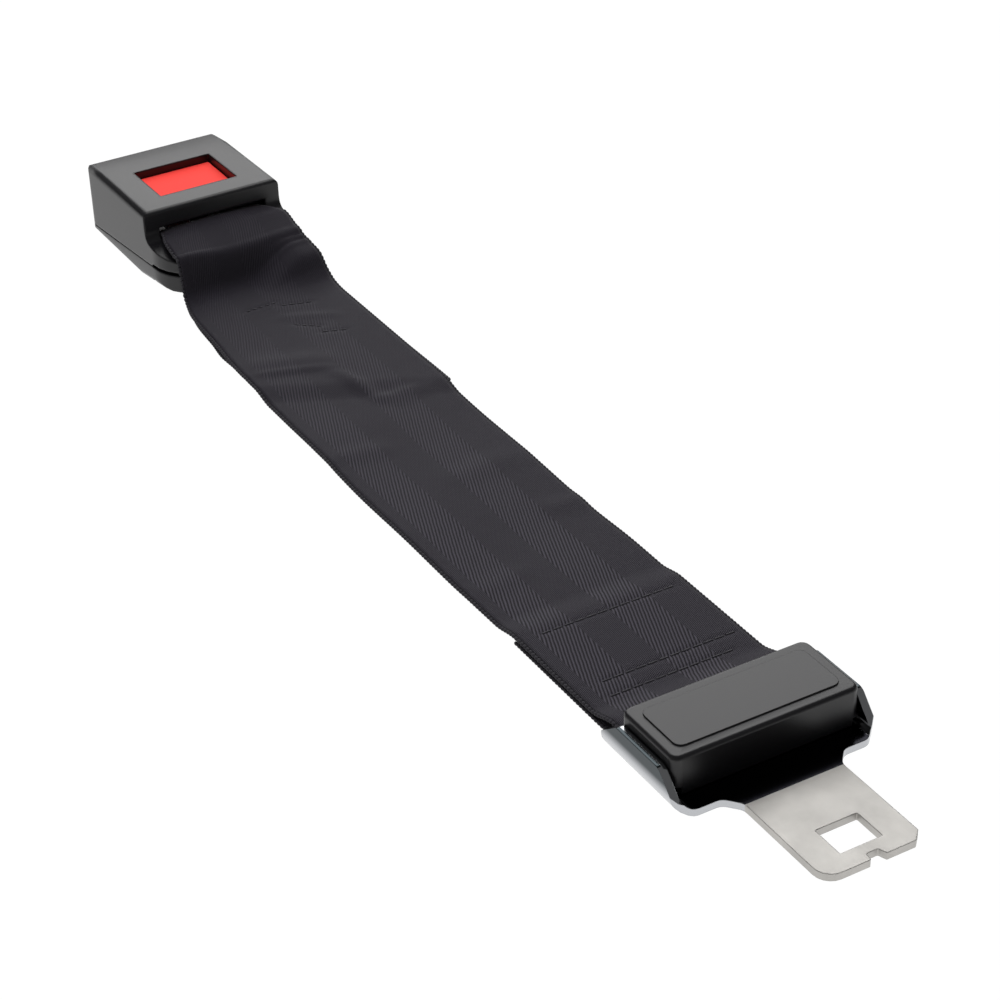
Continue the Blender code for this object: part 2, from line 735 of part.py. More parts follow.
def guide_plate():
    """Steel plate over the mouth that keeps the tongue down on the latch."""
    plate = prism(
        "guide_plate",
        [
            (GUIDE_START, -FRAME_INNER + GAP, 1.0 * MM),
            (GUIDE_END, -FRAME_INNER + GAP, 1.0 * MM),
            (GUIDE_END, FRAME_INNER - GAP, 1.0 * MM),
            (GUIDE_START, FRAME_INNER - GAP, 1.0 * MM),
        ],
        CHANNEL_TOP_Z,
        CHANNEL_TOP_Z + GUIDE_THICKNESS,
        "XY",
        BUCKLE,
        3,
    )
    for name, u, y in RIVETS:
        middle = CHANNEL_TOP_Z + GUIDE_THICKNESS / 2
        cut(plate, rod(f"{name}_eye", (u, y, middle), RIVET_HOLE, 3 * GUIDE_THICKNESS, "Z", BUCKLE))
    return finish(bake(plate), STEEL, 0.35, 1.0)


def guide_rivet(name, u, y):
    """Shouldered rivet: head below the frame, spacer between, head over the guide plate."""
    top = CHANNEL_TOP_Z + GUIDE_THICKNESS + GAP
    head = RIVET_SHOULDER_RADIUS
    profile = [
        (0.0, top + RIVET_HEAD_HEIGHT),
        (head * 0.7, top + RIVET_HEAD_HEIGHT),
        (head, top + RIVET_HEAD_HEIGHT / 2),
        (head, top),
        (RIVET_SHANK_RADIUS, top),
        (RIVET_SHANK_RADIUS, CHANNEL_TOP_Z - GAP),
        (head, CHANNEL_TOP_Z - GAP),
        (head, FRAME_TOP_Z + GAP),
        (RIVET_SHANK_RADIUS, FRAME_TOP_Z + GAP),
        (RIVET_SHANK_RADIUS, FRAME_FLOOR_Z - GAP),
        (head, FRAME_FLOOR_Z - GAP),
        (head, HOUSING_FLOOR + GAP),
        (0.0, HOUSING_FLOOR + GAP),
    ]
    rivet = turned(name, profile, (u, y, 0.0), BUCKLE, 16)
    return finish(bake(rivet), STEEL, 0.3, 1.0)


def latch_pawl():
    """Sprung pawl: its tooth stands in the tongue channel and its arms take the button's legs."""
    under = CHANNEL_FLOOR_Z - PAWL_THICKNESS
    pawl = box(
        "latch_pawl",
        (PAWL_NOSE_U, -PAWL_HALF_WIDTH, under),
        (PIVOT_U, PAWL_HALF_WIDTH, CHANNEL_FLOOR_Z),
        BUCKLE,
    )
    arms = box(
        "pawl_arms",
        (LEG_START - GAP, -LEG_OUTER, under),
        (LEG_START + LEG_LENGTH + GAP, LEG_OUTER, CHANNEL_FLOOR_Z),
        BUCKLE,
    )
    ramp = [
        (TOOTH_START_U, CHANNEL_FLOOR_Z - PAWL_THICKNESS / 2, 0.0),
        (TOOTH_START_U, CHANNEL_FLOOR_Z, 0.0),
        (TOOTH_LOCK_U - 1.2 * MM, CHANNEL_FLOOR_Z + TOOTH_HEIGHT, 0.0),
        (TOOTH_LOCK_U, CHANNEL_FLOOR_Z + TOOTH_HEIGHT, 0.0),
        (TOOTH_LOCK_U, CHANNEL_FLOOR_Z - PAWL_THICKNESS / 2, 0.0),
    ]
    tooth = prism("latch_tooth", ramp, -TOOTH_HALF_WIDTH, TOOTH_HALF_WIDTH, "XZ", BUCKLE)
    centre = (PIVOT_U, 0.0, PIVOT_Z)
    barrel = rod("pawl_barrel", centre, BARREL_RADIUS, 2 * PAWL_HALF_WIDTH, "Y", BUCKLE, 28)
    join(pawl, barrel, arms, tooth)
    across = 2 * (PAWL_HALF_WIDTH + RUN_THROUGH)
    cut(pawl, rod("pawl_bore", centre, PIN_RADIUS + GAP, across, "Y", BUCKLE))
    bake(pawl)
    return finish(pivot_on(pawl, centre), STEEL, 0.35, 1.0)


def pin(name, u, z, radius):
    """Cross pin through both sides of the frame."""
    made = rod(name, (u, 0.0, z), radius, 2 * FRAME_HALF, "Y", BUCKLE, 28)
    return finish(made, STEEL, 0.25, 1.0)


def release_button():
    """Red push button: cap in the collar, flange under it, two legs beside the tongue."""
    base = BUTTON_BASE_Z
    half = WINDOW_WIDTH / 2 - GAP
    cap = box(
        "release_button",
        (WINDOW_START + GAP, -half, base),
        (WINDOW_END - GAP, half, BUTTON_TOP_Z),
        BUCKLE,
    )
    bake(soften(cap, 0.4 * MM, 2))
    flange = box(
        "button_flange",
        (WINDOW_START - BUTTON_FLANGE + GAP, -LEG_OUTER, base),
        (WINDOW_END + BUTTON_FLANGE, LEG_OUTER, BUTTON_FLANGE_TOP_Z),
        BUCKLE,
    )
    join(cap, flange)
    for side in (-1, 1):
        sides = sorted((side * LEG_INNER, side * LEG_OUTER))
        leg = box(
            f"button_leg_{side}",
            (LEG_START, sides[0], CHANNEL_FLOOR_Z + 2 * GAP),
            (LEG_START + LEG_LENGTH, sides[1], base + RUN_THROUGH / 2),
            BUCKLE,
        )
        join(cap, leg)
    bake(cap)
    pivot_on(cap, ((WINDOW_START + WINDOW_END) / 2, 0.0, BUTTON_TOP_Z))
    return finish(cap, RED, 0.35, 0.0)


def ejector():
    """Plastic slider that the spring pushes against the tongue's tip."""
    body = box(
        "ejector",
        (EJECTOR_U, -EJECTOR_HALF_WIDTH, EJECTOR_Z),
        (EJECTOR_END, EJECTOR_HALF_WIDTH, EJECTOR_Z + EJECTOR_HEIGHT),
        BUCKLE,
    )
    wings = box(
        "ejector_wings",
        (EJECTOR_U, -FRAME_HALF, WING_Z),
        (EJECTOR_U + WING_LENGTH, FRAME_HALF, WING_Z + WING_HEIGHT),
        BUCKLE,
    )
    join(body, wings)
    depth = EJECTOR_LENGTH - POCKET_WALL
    pocket = rod(
        "spring_pocket",
        (EJECTOR_END + RUN_THROUGH / 2 - depth / 2, 0.0, EJECTOR_SPRING_Z),
        EJECTOR_SPRING_RADIUS + SPRING_WIRE + GAP / 2,
        depth + RUN_THROUGH,
        "X",
        BUCKLE,
        16,
    )
    cut(body, pocket)
    bake(body)
    pivot_on(body, (EJECTOR_U, 0.0, EJECTOR_SPRING_Z))
    return finish(body, (0.2, 0.2, 0.21), 0.5, 0.0)


def tail_screw(name, side):
    """Small screw that draws the upper cover's cheek down on the lower cover."""
    head_top = SCREW_BASE_Z + SCREW_HEAD_HEIGHT
    profile = [
        (0.0, SCREW_TOP_Z),
        (SCREW_RADIUS, SCREW_TOP_Z),
        (SCREW_RADIUS, head_top),
        (SCREW_HEAD_RADIUS, head_top),
        (SCREW_HEAD_RADIUS, SCREW_BASE_Z),
        (0.0, SCREW_BASE_Z),
    ]
    screw = turned(name, profile, (SCREW_U, side * SCREW_SIDE, 0.0), BUCKLE, 16)
    return finish(bake(screw), STEEL, 0.35, 1.0)


def tongue_plate():
    """One stamping: floor, two upturned flanges, raised load bar and the slotted tongue."""
    section = [
        (-PLATE_OUTER, FLANGE_Z + RUN_THROUGH, 0.0),
        (-PLATE_OUTER, 0.0, PLATE_BEND + PLATE),
        (PLATE_OUTER, 0.0, PLATE_BEND + PLATE),
        (PLATE_OUTER, FLANGE_Z + RUN_THROUGH, 0.0),
        (PLATE_INNER, FLANGE_Z + RUN_THROUGH, 0.0),
        (PLATE_INNER, PLATE, PLATE_BEND),
        (-PLATE_INNER, PLATE, PLATE_BEND),
        (-PLATE_INNER, FLANGE_Z + RUN_THROUGH, 0.0),
    ]
    far = TONGUE_REACH + RUN_THROUGH
    plate = prism("tongue_plate", section, -PLATE_REAR, far, "YZ", TONGUE, 5)
    half = TONGUE_WIDTH / 2
    notch_low = -1.3 * MM
    notch_high = 3.0 * MM
    notch = TONGUE_REACH - NOTCH_DEPTH
    corner = PLATE_SHOULDER - 4.7 * MM
    rear = -PLATE_REAR - RUN_THROUGH
    edge = PLATE_OUTER + RUN_THROUGH
    plan = [
        (rear, -edge, 0.0),
        (corner, -edge, 3.0 * MM),
        (PLATE_SHOULDER, -PLATE_OUTER + 4.2 * MM, 3.6 * MM),
        (PLATE_SHOULDER, -half - 3.4 * MM, 3.0 * MM),
        (TONGUE_ROOT, -half, 3.0 * MM),
        (TONGUE_REACH, -half, TIP_LEFT_RADIUS),
        (TONGUE_REACH, notch_low, 0.3 * MM),
        (notch, notch_low + 0.3 * MM, 0.5 * MM),
        (notch, notch_high - 0.8 * MM, 0.5 * MM),
        (TONGUE_REACH, notch_high, 0.3 * MM),
        (TONGUE_REACH, half - TIP_RIGHT_CUT, 0.8 * MM),
        (TONGUE_REACH - TIP_RIGHT_CUT, half, 0.8 * MM),
        (TONGUE_ROOT, half, 3.0 * MM),
        (PLATE_SHOULDER, half + 3.4 * MM, 3.0 * MM),
        (PLATE_SHOULDER, PLATE_OUTER - 4.2 * MM, 3.6 * MM),
        (corner, edge, 3.0 * MM),
        (rear, edge, 0.0),
    ]
    outline = prism("plate_outline", plan, -RUN_THROUGH, FLANGE_Z + 2 * RUN_THROUGH, "XY", TONGUE)
    rear_slope = PLATE_REAR - 6.5 * MM
    over = PLATE + RUN_THROUGH
    side = [
        (rear, -RUN_THROUGH, 0.0),
        (rear, FLANGE_Z / 2 - RUN_THROUGH, 0.0),
        (-PLATE_REAR, FLANGE_Z / 2, 0.8 * MM),
        (-rear_slope, FLANGE_Z, 1.5 * MM),
        (FLANGE_FRONT, FLANGE_Z, 3.0 * MM),
        (FLANGE_FRONT + 6.0 * MM, over, 1.0 * MM),
        (far, over, 0.0),
        (far, -RUN_THROUGH, 0.0),
    ]
    silhouette = prism("plate_silhouette", side, -2 * edge, 2 * edge, "XZ", TONGUE)
    combine(plate, outline, "INTERSECT")
    combine(plate, silhouette, "INTERSECT")
    bake(plate)
    clear_rear = box(
        "bar_relief",
        (-PLATE_REAR - RUN_THROUGH, -SLOT_WIDTH / 2, -RUN_THROUGH),
        (LOAD_BAR_FRONT + SLOT_LENGTH, SLOT_WIDTH / 2, PLATE + RUN_THROUGH),
        TONGUE,
    )
    load_bar = box(
        "load_bar",
        (-PLATE_REAR + GAP / 2, -PLATE_INNER - PLATE / 2, LOAD_BAR_LIFT),
        (LOAD_BAR_FRONT, PLATE_INNER + PLATE / 2, LOAD_BAR_LIFT + PLATE),
        TONGUE,
    )
    window = prism(
        "tongue_window",
        [
            (TONGUE_WINDOW_NEAR, -TONGUE_WINDOW_WIDTH / 2, 0.3 * MM),
            (TONGUE_WINDOW_NEAR + TONGUE_WINDOW_LENGTH, -TONGUE_WINDOW_WIDTH / 2, 0.3 * MM),
            (TONGUE_WINDOW_NEAR + TONGUE_WINDOW_LENGTH, TONGUE_WINDOW_WIDTH / 2, 0.3 * MM),
            (TONGUE_WINDOW_NEAR, TONGUE_WINDOW_WIDTH / 2, 0.3 * MM),
        ],
        -RUN_THROUGH,
        PLATE + RUN_THROUGH,
        "XY",
        TONGUE,
        2,
    )
    cut(plate, clear_rear)
    join(plate, load_bar)
    cut(plate, window)
    return finish(bake(plate), CHROME, 0.18, 1.0)


def tongue_cover():
    """Moulded block over the sewn loop: a shell with a raised pad, notched for the webbing."""
    half_x = BLOCK_LENGTH / 2
    half_y = BLOCK_HALF_WIDTH
    foot = PLATE + GAP
    body = prism(
        "tongue_cover",
        [
            (-half_x, -half_y, BLOCK_CORNER),
            (half_x, -half_y, BLOCK_CORNER),
            (half_x, half_y, BLOCK_CORNER),
            (-half_x, half_y, BLOCK_CORNER),
        ],
        foot - HOUSING_WALL,
        BLOCK_TOP_Z,
        "XY",
        TONGUE,
        4,
    )
    bake(soften(body, BLOCK_ROUND, 3))
    pad = prism(
        "block_pad",
        [
            (-half_x + PAD_INSET, -half_y + PAD_INSET, 2.2 * MM),
            (half_x - PAD_INSET, -half_y + PAD_INSET, 2.2 * MM),
            (half_x - PAD_INSET, half_y - PAD_INSET, 2.2 * MM),
            (-half_x + PAD_INSET, half_y - PAD_INSET, 2.2 * MM),
        ],
        BLOCK_TOP_Z - PAD_HEIGHT,
        BLOCK_TOP_Z + PAD_HEIGHT,
        "XY",
        TONGUE,
        4,
    )
    join(body, pad)
    below = box(
        "block_foot_line",
        (-half_x - RUN_THROUGH, -half_y - RUN_THROUGH, -2 * RUN_THROUGH),
        (half_x + RUN_THROUGH, half_y + RUN_THROUGH, foot),
        TONGUE,
    )
    hollow = box(
        "block_hollow",
        (-half_x + BLOCK_WALL, -half_y + BLOCK_WALL, -RUN_THROUGH),
        (half_x - BLOCK_WALL, half_y - BLOCK_WALL, BLOCK_TOP_Z - BLOCK_WALL),
        TONGUE,
    )
    web_notch = box(
        "webbing_notch",
        (-half_x - RUN_THROUGH, -WEB_NOTCH_HALF, -RUN_THROUGH),
        (0.0, WEB_NOTCH_HALF, WEB_OVER_BAR_Z + WEB_THICKNESS / 2 + 2 * GAP),
        TONGUE,
    )
    bar_seat = box(
        "bar_seat",
        (-half_x - RUN_THROUGH, -half_y - RUN_THROUGH, 0.0),
        (LOAD_BAR_FRONT + GAP, half_y + RUN_THROUGH, LOAD_BAR_LIFT + PLATE + GAP),
        TONGUE,
    )
    cut(body, below, hollow, web_notch, bar_seat)
    for side in (-1, 1):
        near = side * (PLATE_INNER - PLATE_BEND - GAP)
        far = side * (half_y + RUN_THROUGH)
        bend_relief = box(
            f"bend_relief_{side}",
            (-half_x - RUN_THROUGH, min(near, far), -RUN_THROUGH),
            (half_x + RUN_THROUGH, max(near, far), PLATE + PLATE_BEND),
            TONGUE,
        )
        cut(body, bend_relief)
        leg = box(
            f"clip_leg_{side}",
            (CLIP_X, side * CLIP_SIDE - CLIP_HALF, PLATE - LEG_REACH),
            (CLIP_X + BLOCK_WALL, side * CLIP_SIDE + CLIP_HALF, BLOCK_TOP_Z - BLOCK_WALL / 2),
            TONGUE,
        )
        join(body, leg)
    return finish(bake(body), BLACK_PLASTIC, 0.4, 0.0)


WEB_OVER_BAR_Z = LOAD_BAR_LIFT + PLATE + WEB_STAND
WEB_NOTCH_HALF = SLOT_WIDTH / 2 - GAP
CLIP_X = LOAD_BAR_FRONT + SLOT_LENGTH - BLOCK_WALL - GAP
CLIP_SIDE = WEB_WIDTH / 4
CLIP_HALF = 2.5 * MM


def smooth(start, end, value):
    """Ease from 0 at start to 1 at end."""
    share = min(1.0, max(0.0, (value - start) / (end - start)))
    return share * share * (3.0 - 2.0 * share)


def through(points, x):
    """Height of a smooth line through (x, height) points that go up in x."""
    if x <= points[0][0]:
        return points[0][1]
    for k in range(len(points) - 1):
        (x0, y0), (x1, y1) = points[k], points[k + 1]
        if x <= x1:
            run = x1 - x0
            share = (x - x0) / run
            before = points[k - 1] if k else points[k]
            after = points[k + 2] if k + 2 < len(points) else points[k + 1]
            slope0 = (y1 - before[1]) / (x1 - before[0]) if k else 0.0
            slope1 = (after[1] - y0) / (after[0] - x0) if k + 2 < len(points) else 0.0
            low, high = sorted((y0, y1))
            value = (
                y0 * (1 + 2 * share) * (1 - share) ** 2
                + slope0 * run * share * (1 - share) ** 2
                + y1 * share**2 * (3 - 2 * share)
                + slope1 * run * share**2 * (share - 1)
            )
            return min(high, max(low, value))
    return points[-1][1]


BAR_X = MOUTH_X + BAR_U
LIP_X = MOUTH_X + BUCKLE_LENGTH
THROAT_X = MOUTH_X + THROAT_END
SETTLE_X = THROAT_X + 14.0 * MM
PLATE_REAR_X = BLOCK_X - PLATE_REAR
LOAD_BAR_X = BLOCK_X + LOAD_BAR_FRONT
BAR_LOOP = BAR_RADIUS + WEB_STAND
LOAD_LOOP = PLATE / 2 + WEB_STAND
LOAD_BAR_Z = LOAD_BAR_LIFT + PLATE / 2
FLAT_Z = WEB_LIFT + WEB_THICKNESS / 2
LAYER = WEB_THICKNESS + GAP
THROAT_FLOOR_Z = bottom_z(THROAT_END) + HOUSING_FLOOR + WEB_STAND
LIP_CROWN_Z = LIP_Z - WEB_STAND - 0.2 * MM
TONGUE_LAP_X = LOAD_BAR_X - TONGUE_LAP
BUCKLE_LAP_X = LIP_X + BUCKLE_LAP

# Height of the under layer's middle line at the buckle, inside to outside
UNDER_BUCKLE = [
    (BAR_X, BAR_Z - BAR_LOOP),
    (MOUTH_X + FRAME_END + 1.0 * MM, FRAME_TOP_Z + WEB_STAND + 0.3 * MM),
    (THROAT_X - 5.0 * MM, THROAT_FLOOR_Z + 0.2 * MM),
    (THROAT_X + 0.3 * MM, THROAT_FLOOR_Z),
    (THROAT_X + 4.0 * MM, 2.4 * MM),
    (THROAT_X + 9.0 * MM, FLAT_Z),
]

# Height of the upper layer's middle line at the buckle, inside to outside
UPPER_BUCKLE = [
    (BAR_X, BAR_Z + BAR_LOOP),
    (LIP_X - 3.0 * MM, LIP_CROWN_Z - 1.6 * MM),
    (LIP_X + 1.0 * MM, LIP_CROWN_Z - 0.3 * MM),
    (LIP_X + 5.0 * MM, LIP_CROWN_Z - 1.0 * MM),
    (LIP_X + 9.2 * MM, LIP_CROWN_Z - 2.3 * MM),
    (LIP_X + 13.2 * MM, LIP_CROWN_Z - 3.8 * MM),
    (LIP_X + 15.4 * MM, LIP_CROWN_Z - 4.9 * MM),
    (LIP_X + 16.8 * MM, LIP_CROWN_Z - 8.3 * MM),
    (LIP_X + 18.4 * MM, LIP_CROWN_Z - 12.9 * MM),
    (LIP_X + 20.7 * MM, FLAT_Z + LAYER + 0.7 * MM),
    (SETTLE_X, FLAT_Z + LAYER),
]

# How far each edge of the upper layer hangs below its middle; the right one rides the cheek
LEFT_HANG = [
    (LIP_X - 5.5 * MM, 0.0),
    (LIP_X - 1.0 * MM, 0.9 * MM),
    (LIP_X + 3.0 * MM, 0.5 * MM),
    (LIP_X + 7.0 * MM, -0.2 * MM),
    (LIP_X + 13.5 * MM, -1.0 * MM),
    (LIP_X + 15.2 * MM, -1.7 * MM),
    (LIP_X + 16.6 * MM, -0.9 * MM),
    (LIP_X + 19.0 * MM, 0.0),
]
RIGHT_HANG = [
    (LIP_X - 5.5 * MM, 0.0),
    (LIP_X - 1.0 * MM, 0.8 * MM),
    (LIP_X + 3.0 * MM, 0.4 * MM),
    (LIP_X + 6.8 * MM, -0.4 * MM),
    (LIP_X + 10.3 * MM, -0.3 * MM),
    (LIP_X + 13.5 * MM, -0.4 * MM),
    (LIP_X + 16.0 * MM, -1.3 * MM),
    (LIP_X + 17.5 * MM, -5.0 * MM),
    (LIP_X + 19.4 * MM, -8.2 * MM),
    (LIP_X + 22.0 * MM, -8.4 * MM),
    (LIP_X + 25.0 * MM, -7.2 * MM),
    (LIP_X + 28.0 * MM, -3.4 * MM),
    (LIP_X + 32.0 * MM, -0.9 * MM),
    (LIP_X + 40.0 * MM, 0.0),
]

# Half widths of both layers, gathered where they pass through the buckle
WEB_HALF = WEB_WIDTH / 2
LEFT_HALF = [
    (LIP_X - 2.0 * MM, LOOP_HALF_WIDTH),
    (LIP_X + 2.2 * MM, LOOP_HALF_WIDTH + 0.7 * MM),
    (LIP_X + 7.2 * MM, LOOP_HALF_WIDTH + 2.0 * MM),
    (LIP_X + 17.0 * MM, LOOP_HALF_WIDTH + 2.2 * MM),
    (LIP_X + 21.0 * MM, WEB_HALF - 4.45 * MM),
    (LIP_X + 29.0 * MM, WEB_HALF - 2.75 * MM),
    (LIP_X + 45.0 * MM, WEB_HALF - 1.65 * MM),
    (LIP_X + 70.0 * MM, WEB_HALF),
]
RIGHT_HALF = [
    (LIP_X - 2.0 * MM, LOOP_HALF_WIDTH),
    (LIP_X + 1.2 * MM, LOOP_HALF_WIDTH + 0.6 * MM),
    (LIP_X + 5.2 * MM, LOOP_HALF_WIDTH + 3.2 * MM),
    (LIP_X + 7.2 * MM, LOOP_HALF_WIDTH + 4.3 * MM),
    (LIP_X + 14.0 * MM, WEB_HALF - 2.5 * MM),
    (LIP_X + 20.0 * MM, WEB_HALF - 1.5 * MM),
    (LIP_X + 31.0 * MM, WEB_HALF),
]
UNDER_HALF = [
    (THROAT_X + 4.5 * MM, LOOP_HALF_WIDTH),
    (LIP_X + 24.0 * MM, WEB_HALF - 4.75 * MM),
    (LIP_X + 32.0 * MM, WEB_HALF - 2.95 * MM),
    (LIP_X + 48.0 * MM, WEB_HALF - 1.45 * MM),
    (LIP_X + 62.0 * MM, WEB_HALF),
]


def lap_end(across):
    """X of the under layer's cut end at the buckle, slanted over the width."""
    return BUCKLE_LAP_X + LAP_SKEW * across


def under_point(x, across):
    """A point on the under layer's middle surface; across runs from -1 to 1."""
    if x > BLOCK_X - PLATE_REAR - TONGUE_LAP:
        lift = smooth(PLATE_REAR_X - 9.0 * MM, PLATE_REAR_X, x)
        z = FLAT_Z + (LOAD_BAR_Z - LOAD_LOOP - FLAT_Z) * lift
        return Vector((x, across * WEB_HALF, z))
    half = through(UNDER_HALF, x)
    shear = smooth(SETTLE_X, BUCKLE_LAP_X, x)
    return Vector(
        (
            x + LAP_SKEW * across * shear,
            across * half + 1.6 * MM * shear,
            through(UNDER_BUCKLE, x),
        )
    )


def upper_height(x, across):
    """Height of the upper layer's middle surface."""
    over_lap = 1.0 - smooth(lap_end(across), lap_end(across) + STEP_RUN, x)
    over_tongue_lap = smooth(TONGUE_LAP_X - STEP_RUN, TONGUE_LAP_X - 0.5 * MM, x)
    z = FLAT_Z + LAYER * max(over_lap, over_tongue_lap)
    climb = smooth(PLATE_REAR_X - 11.0 * MM, PLATE_REAR_X - 0.5 * MM, x)
    z += (LOAD_BAR_Z + LOAD_LOOP - FLAT_Z - LAYER) * climb
    middle = smooth(BUCKLE_LAP_X, BUCKLE_LAP_X + 30.0 * MM, x)
    middle *= 1.0 - smooth(TONGUE_LAP_X - 30.0 * MM, TONGUE_LAP_X, x)
    wave = 0.5 + 0.5 * sin((x - BUCKLE_LAP_X) / (9.0 * MM) + 1.3 * across)
    z += 0.55 * MM * middle * wave
    ridge_x = lap_end(across) - 6.0 * MM
    ridge = smooth(ridge_x - 5.0 * MM, ridge_x, x) * (1.0 - smooth(ridge_x, ridge_x + 4.0 * MM, x))
    ridge *= 1.0 - smooth(0.0, 0.5, across)
    return z + 0.9 * MM * ridge


def upper_point(x, across):
    """A point on the upper layer's middle surface."""
    half = through(LEFT_HALF, x) if across < 0 else through(RIGHT_HALF, x)
    drift = -0.7 * MM * smooth(BUCKLE_LAP_X, BUCKLE_LAP_X + 60.0 * MM, x)
    drift *= 1.0 - smooth(TONGUE_LAP_X - 50.0 * MM, TONGUE_LAP_X, x)
    if x > SETTLE_X:
        z = upper_height(x, across)
    else:
        z = through(UPPER_BUCKLE, x)
    hang = through(LEFT_HANG if across < 0 else RIGHT_HANG, x)
    if hang < 0:
        z -= hang * smooth(0.1, 0.82, abs(across))
    else:
        z -= hang * abs(across) ** 2.2
    return Vector((x, across * half + drift, z))


def bend(centre_x, centre_z, radius, half, start, steps):
    """Stations round a bar: half a turn from start, in degrees, each a function of across."""
    stations = []
    for k in range(1, steps):
        angle = radians(start - 180.0 * k / steps)
        x = centre_x + radius * cos(angle)
        z = centre_z + radius * sin(angle)
        stations.append(lambda across, x=x, z=z: Vector((x, across * half, z)))
    return stations


def spaced(start, end, step):
    """Evenly spaced values from start to end, both included."""
    count = max(1, round(abs(end - start) / step))
    return [start + (end - start) * k / count for k in range(count + 1)]


def web_stations():
    """Every cross line of the webbing, from the tongue lap's end to the buckle lap's end."""
    stations = []
    for x in spaced(TONGUE_LAP_X, PLATE_REAR_X - 12.0 * MM, WEB_STEP):
        stations.append(lambda across, x=x: under_point(x, across))
    for x in spaced(PLATE_REAR_X - 10.0 * MM, LOAD_BAR_X, WEB_FINE_STEP):
        stations.append(lambda across, x=x: under_point(x, across))
    turn = bend(LOAD_BAR_X, LOAD_BAR_Z, LOAD_LOOP, WEB_HALF, 90.0, 8)
    stations += turn[::-1]
    for x in spaced(LOAD_BAR_X, PLATE_REAR_X - 12.0 * MM, WEB_FINE_STEP):
        stations.append(lambda across, x=x: upper_point(x, across))
    for x in spaced(PLATE_REAR_X - 15.0 * MM, SETTLE_X + 4.0 * MM, WEB_STEP):
        stations.append(lambda across, x=x: upper_point(x, across))
    for x in spaced(SETTLE_X + 2.0 * MM, BAR_X, WEB_TIGHT_STEP):
        stations.append(lambda across, x=x: upper_point(x, across))
    turn = bend(BAR_X, BAR_Z, BAR_LOOP, LOOP_HALF_WIDTH, 270.0, 10)
    stations += turn[::-1]
    for x in spaced(BAR_X, SETTLE_X + 2.0 * MM, WEB_FINE_STEP):
        stations.append(lambda across, x=x: under_point(x, across))
    for x in spaced(SETTLE_X + 6.0 * MM, BUCKLE_LAP_X, WEB_STEP):
        stations.append(lambda across, x=x: under_point(x, across))
    return stations


def webbing():
    """One length of belt webbing, looped round both bars and folded back under itself."""
    shape = bmesh.new()
    rows = []
    for station in web_stations():
        row = []
        for k in range(WEB_COLUMNS + 1):
            row.append(shape.verts.new(station(-1.0 + 2.0 * k / WEB_COLUMNS)))
        rows.append(row)
    for first, second in zip(rows, rows[1:]):
        for k in range(WEB_COLUMNS):
            shape.faces.new((first[k], first[k + 1], second[k + 1], second[k]))
    belt = place(mesh_from(shape, "webbing"), "webbing", None)
    wall = belt.modifiers.new("cloth", "SOLIDIFY")
    wall.thickness = WEB_THICKNESS
    wall.offset = 0.0
    return finish(belt, (0.035, 0.033, 0.037), 0.9, 0.0)


def springs():
    """Latch spring below the pawl and ejector spring behind the ejector."""
    under = CHANNEL_FLOOR_Z - PAWL_THICKNESS
    latch = coil(
        "latch_spring",
        (LATCH_SPRING_U, 0.0, FRAME_TOP_Z + GAP / 2),
        (LATCH_SPRING_U, 0.0, under - GAP / 2),
        LATCH_SPRING_RADIUS,
        LATCH_SPRING_TURNS,
        BUCKLE,
    )
    push = coil(
        "ejector_spring",
        (EJECTOR_U + POCKET_WALL + GAP / 2, 0.0, EJECTOR_SPRING_Z),
        (TAB_U - GAP / 2, 0.0, EJECTOR_SPRING_Z),
        EJECTOR_SPRING_RADIUS,
        EJECTOR_SPRING_TURNS,
        BUCKLE,
    )
    finish(latch, STEEL, 0.3, 1.0)
    finish(push, STEEL, 0.3, 1.0)


def main():
    """Build every piece."""
    upper_cover()
    lower_cover()
    buckle_frame()
    guide_plate()
    for name, u, y in RIVETS:
        guide_rivet(name, u, y)
    latch_pawl()
    pin("latch_pin", PIVOT_U, PIVOT_Z, PIN_RADIUS)
    pin("webbing_bar", BAR_U, BAR_Z, BAR_RADIUS)
    release_button()
    ejector()
    springs()
    for word, side in (("left", -1), ("right", 1)):
        tail_screw(f"tail_screw_{word}", side)
    tongue_plate()
    tongue_cover()
    webbing()


main()
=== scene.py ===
"""Studio scene of a seat belt extender: buckle, webbing, cover block and plated tongue plate.

Lengths are in millimetres, and are turned into metres where they meet Blender. A name that ends
in _m holds metres. The frame is the part's own: +X from the buckle to the tongue, +Z up.
"""

import json
import logging
from dataclasses import dataclass, field
from enum import Enum
from math import cos, exp, pi, radians, sin, tau
from typing import Callable, Sequence

import bmesh
import bpy
import numpy as np
from mathutils import Matrix, Vector

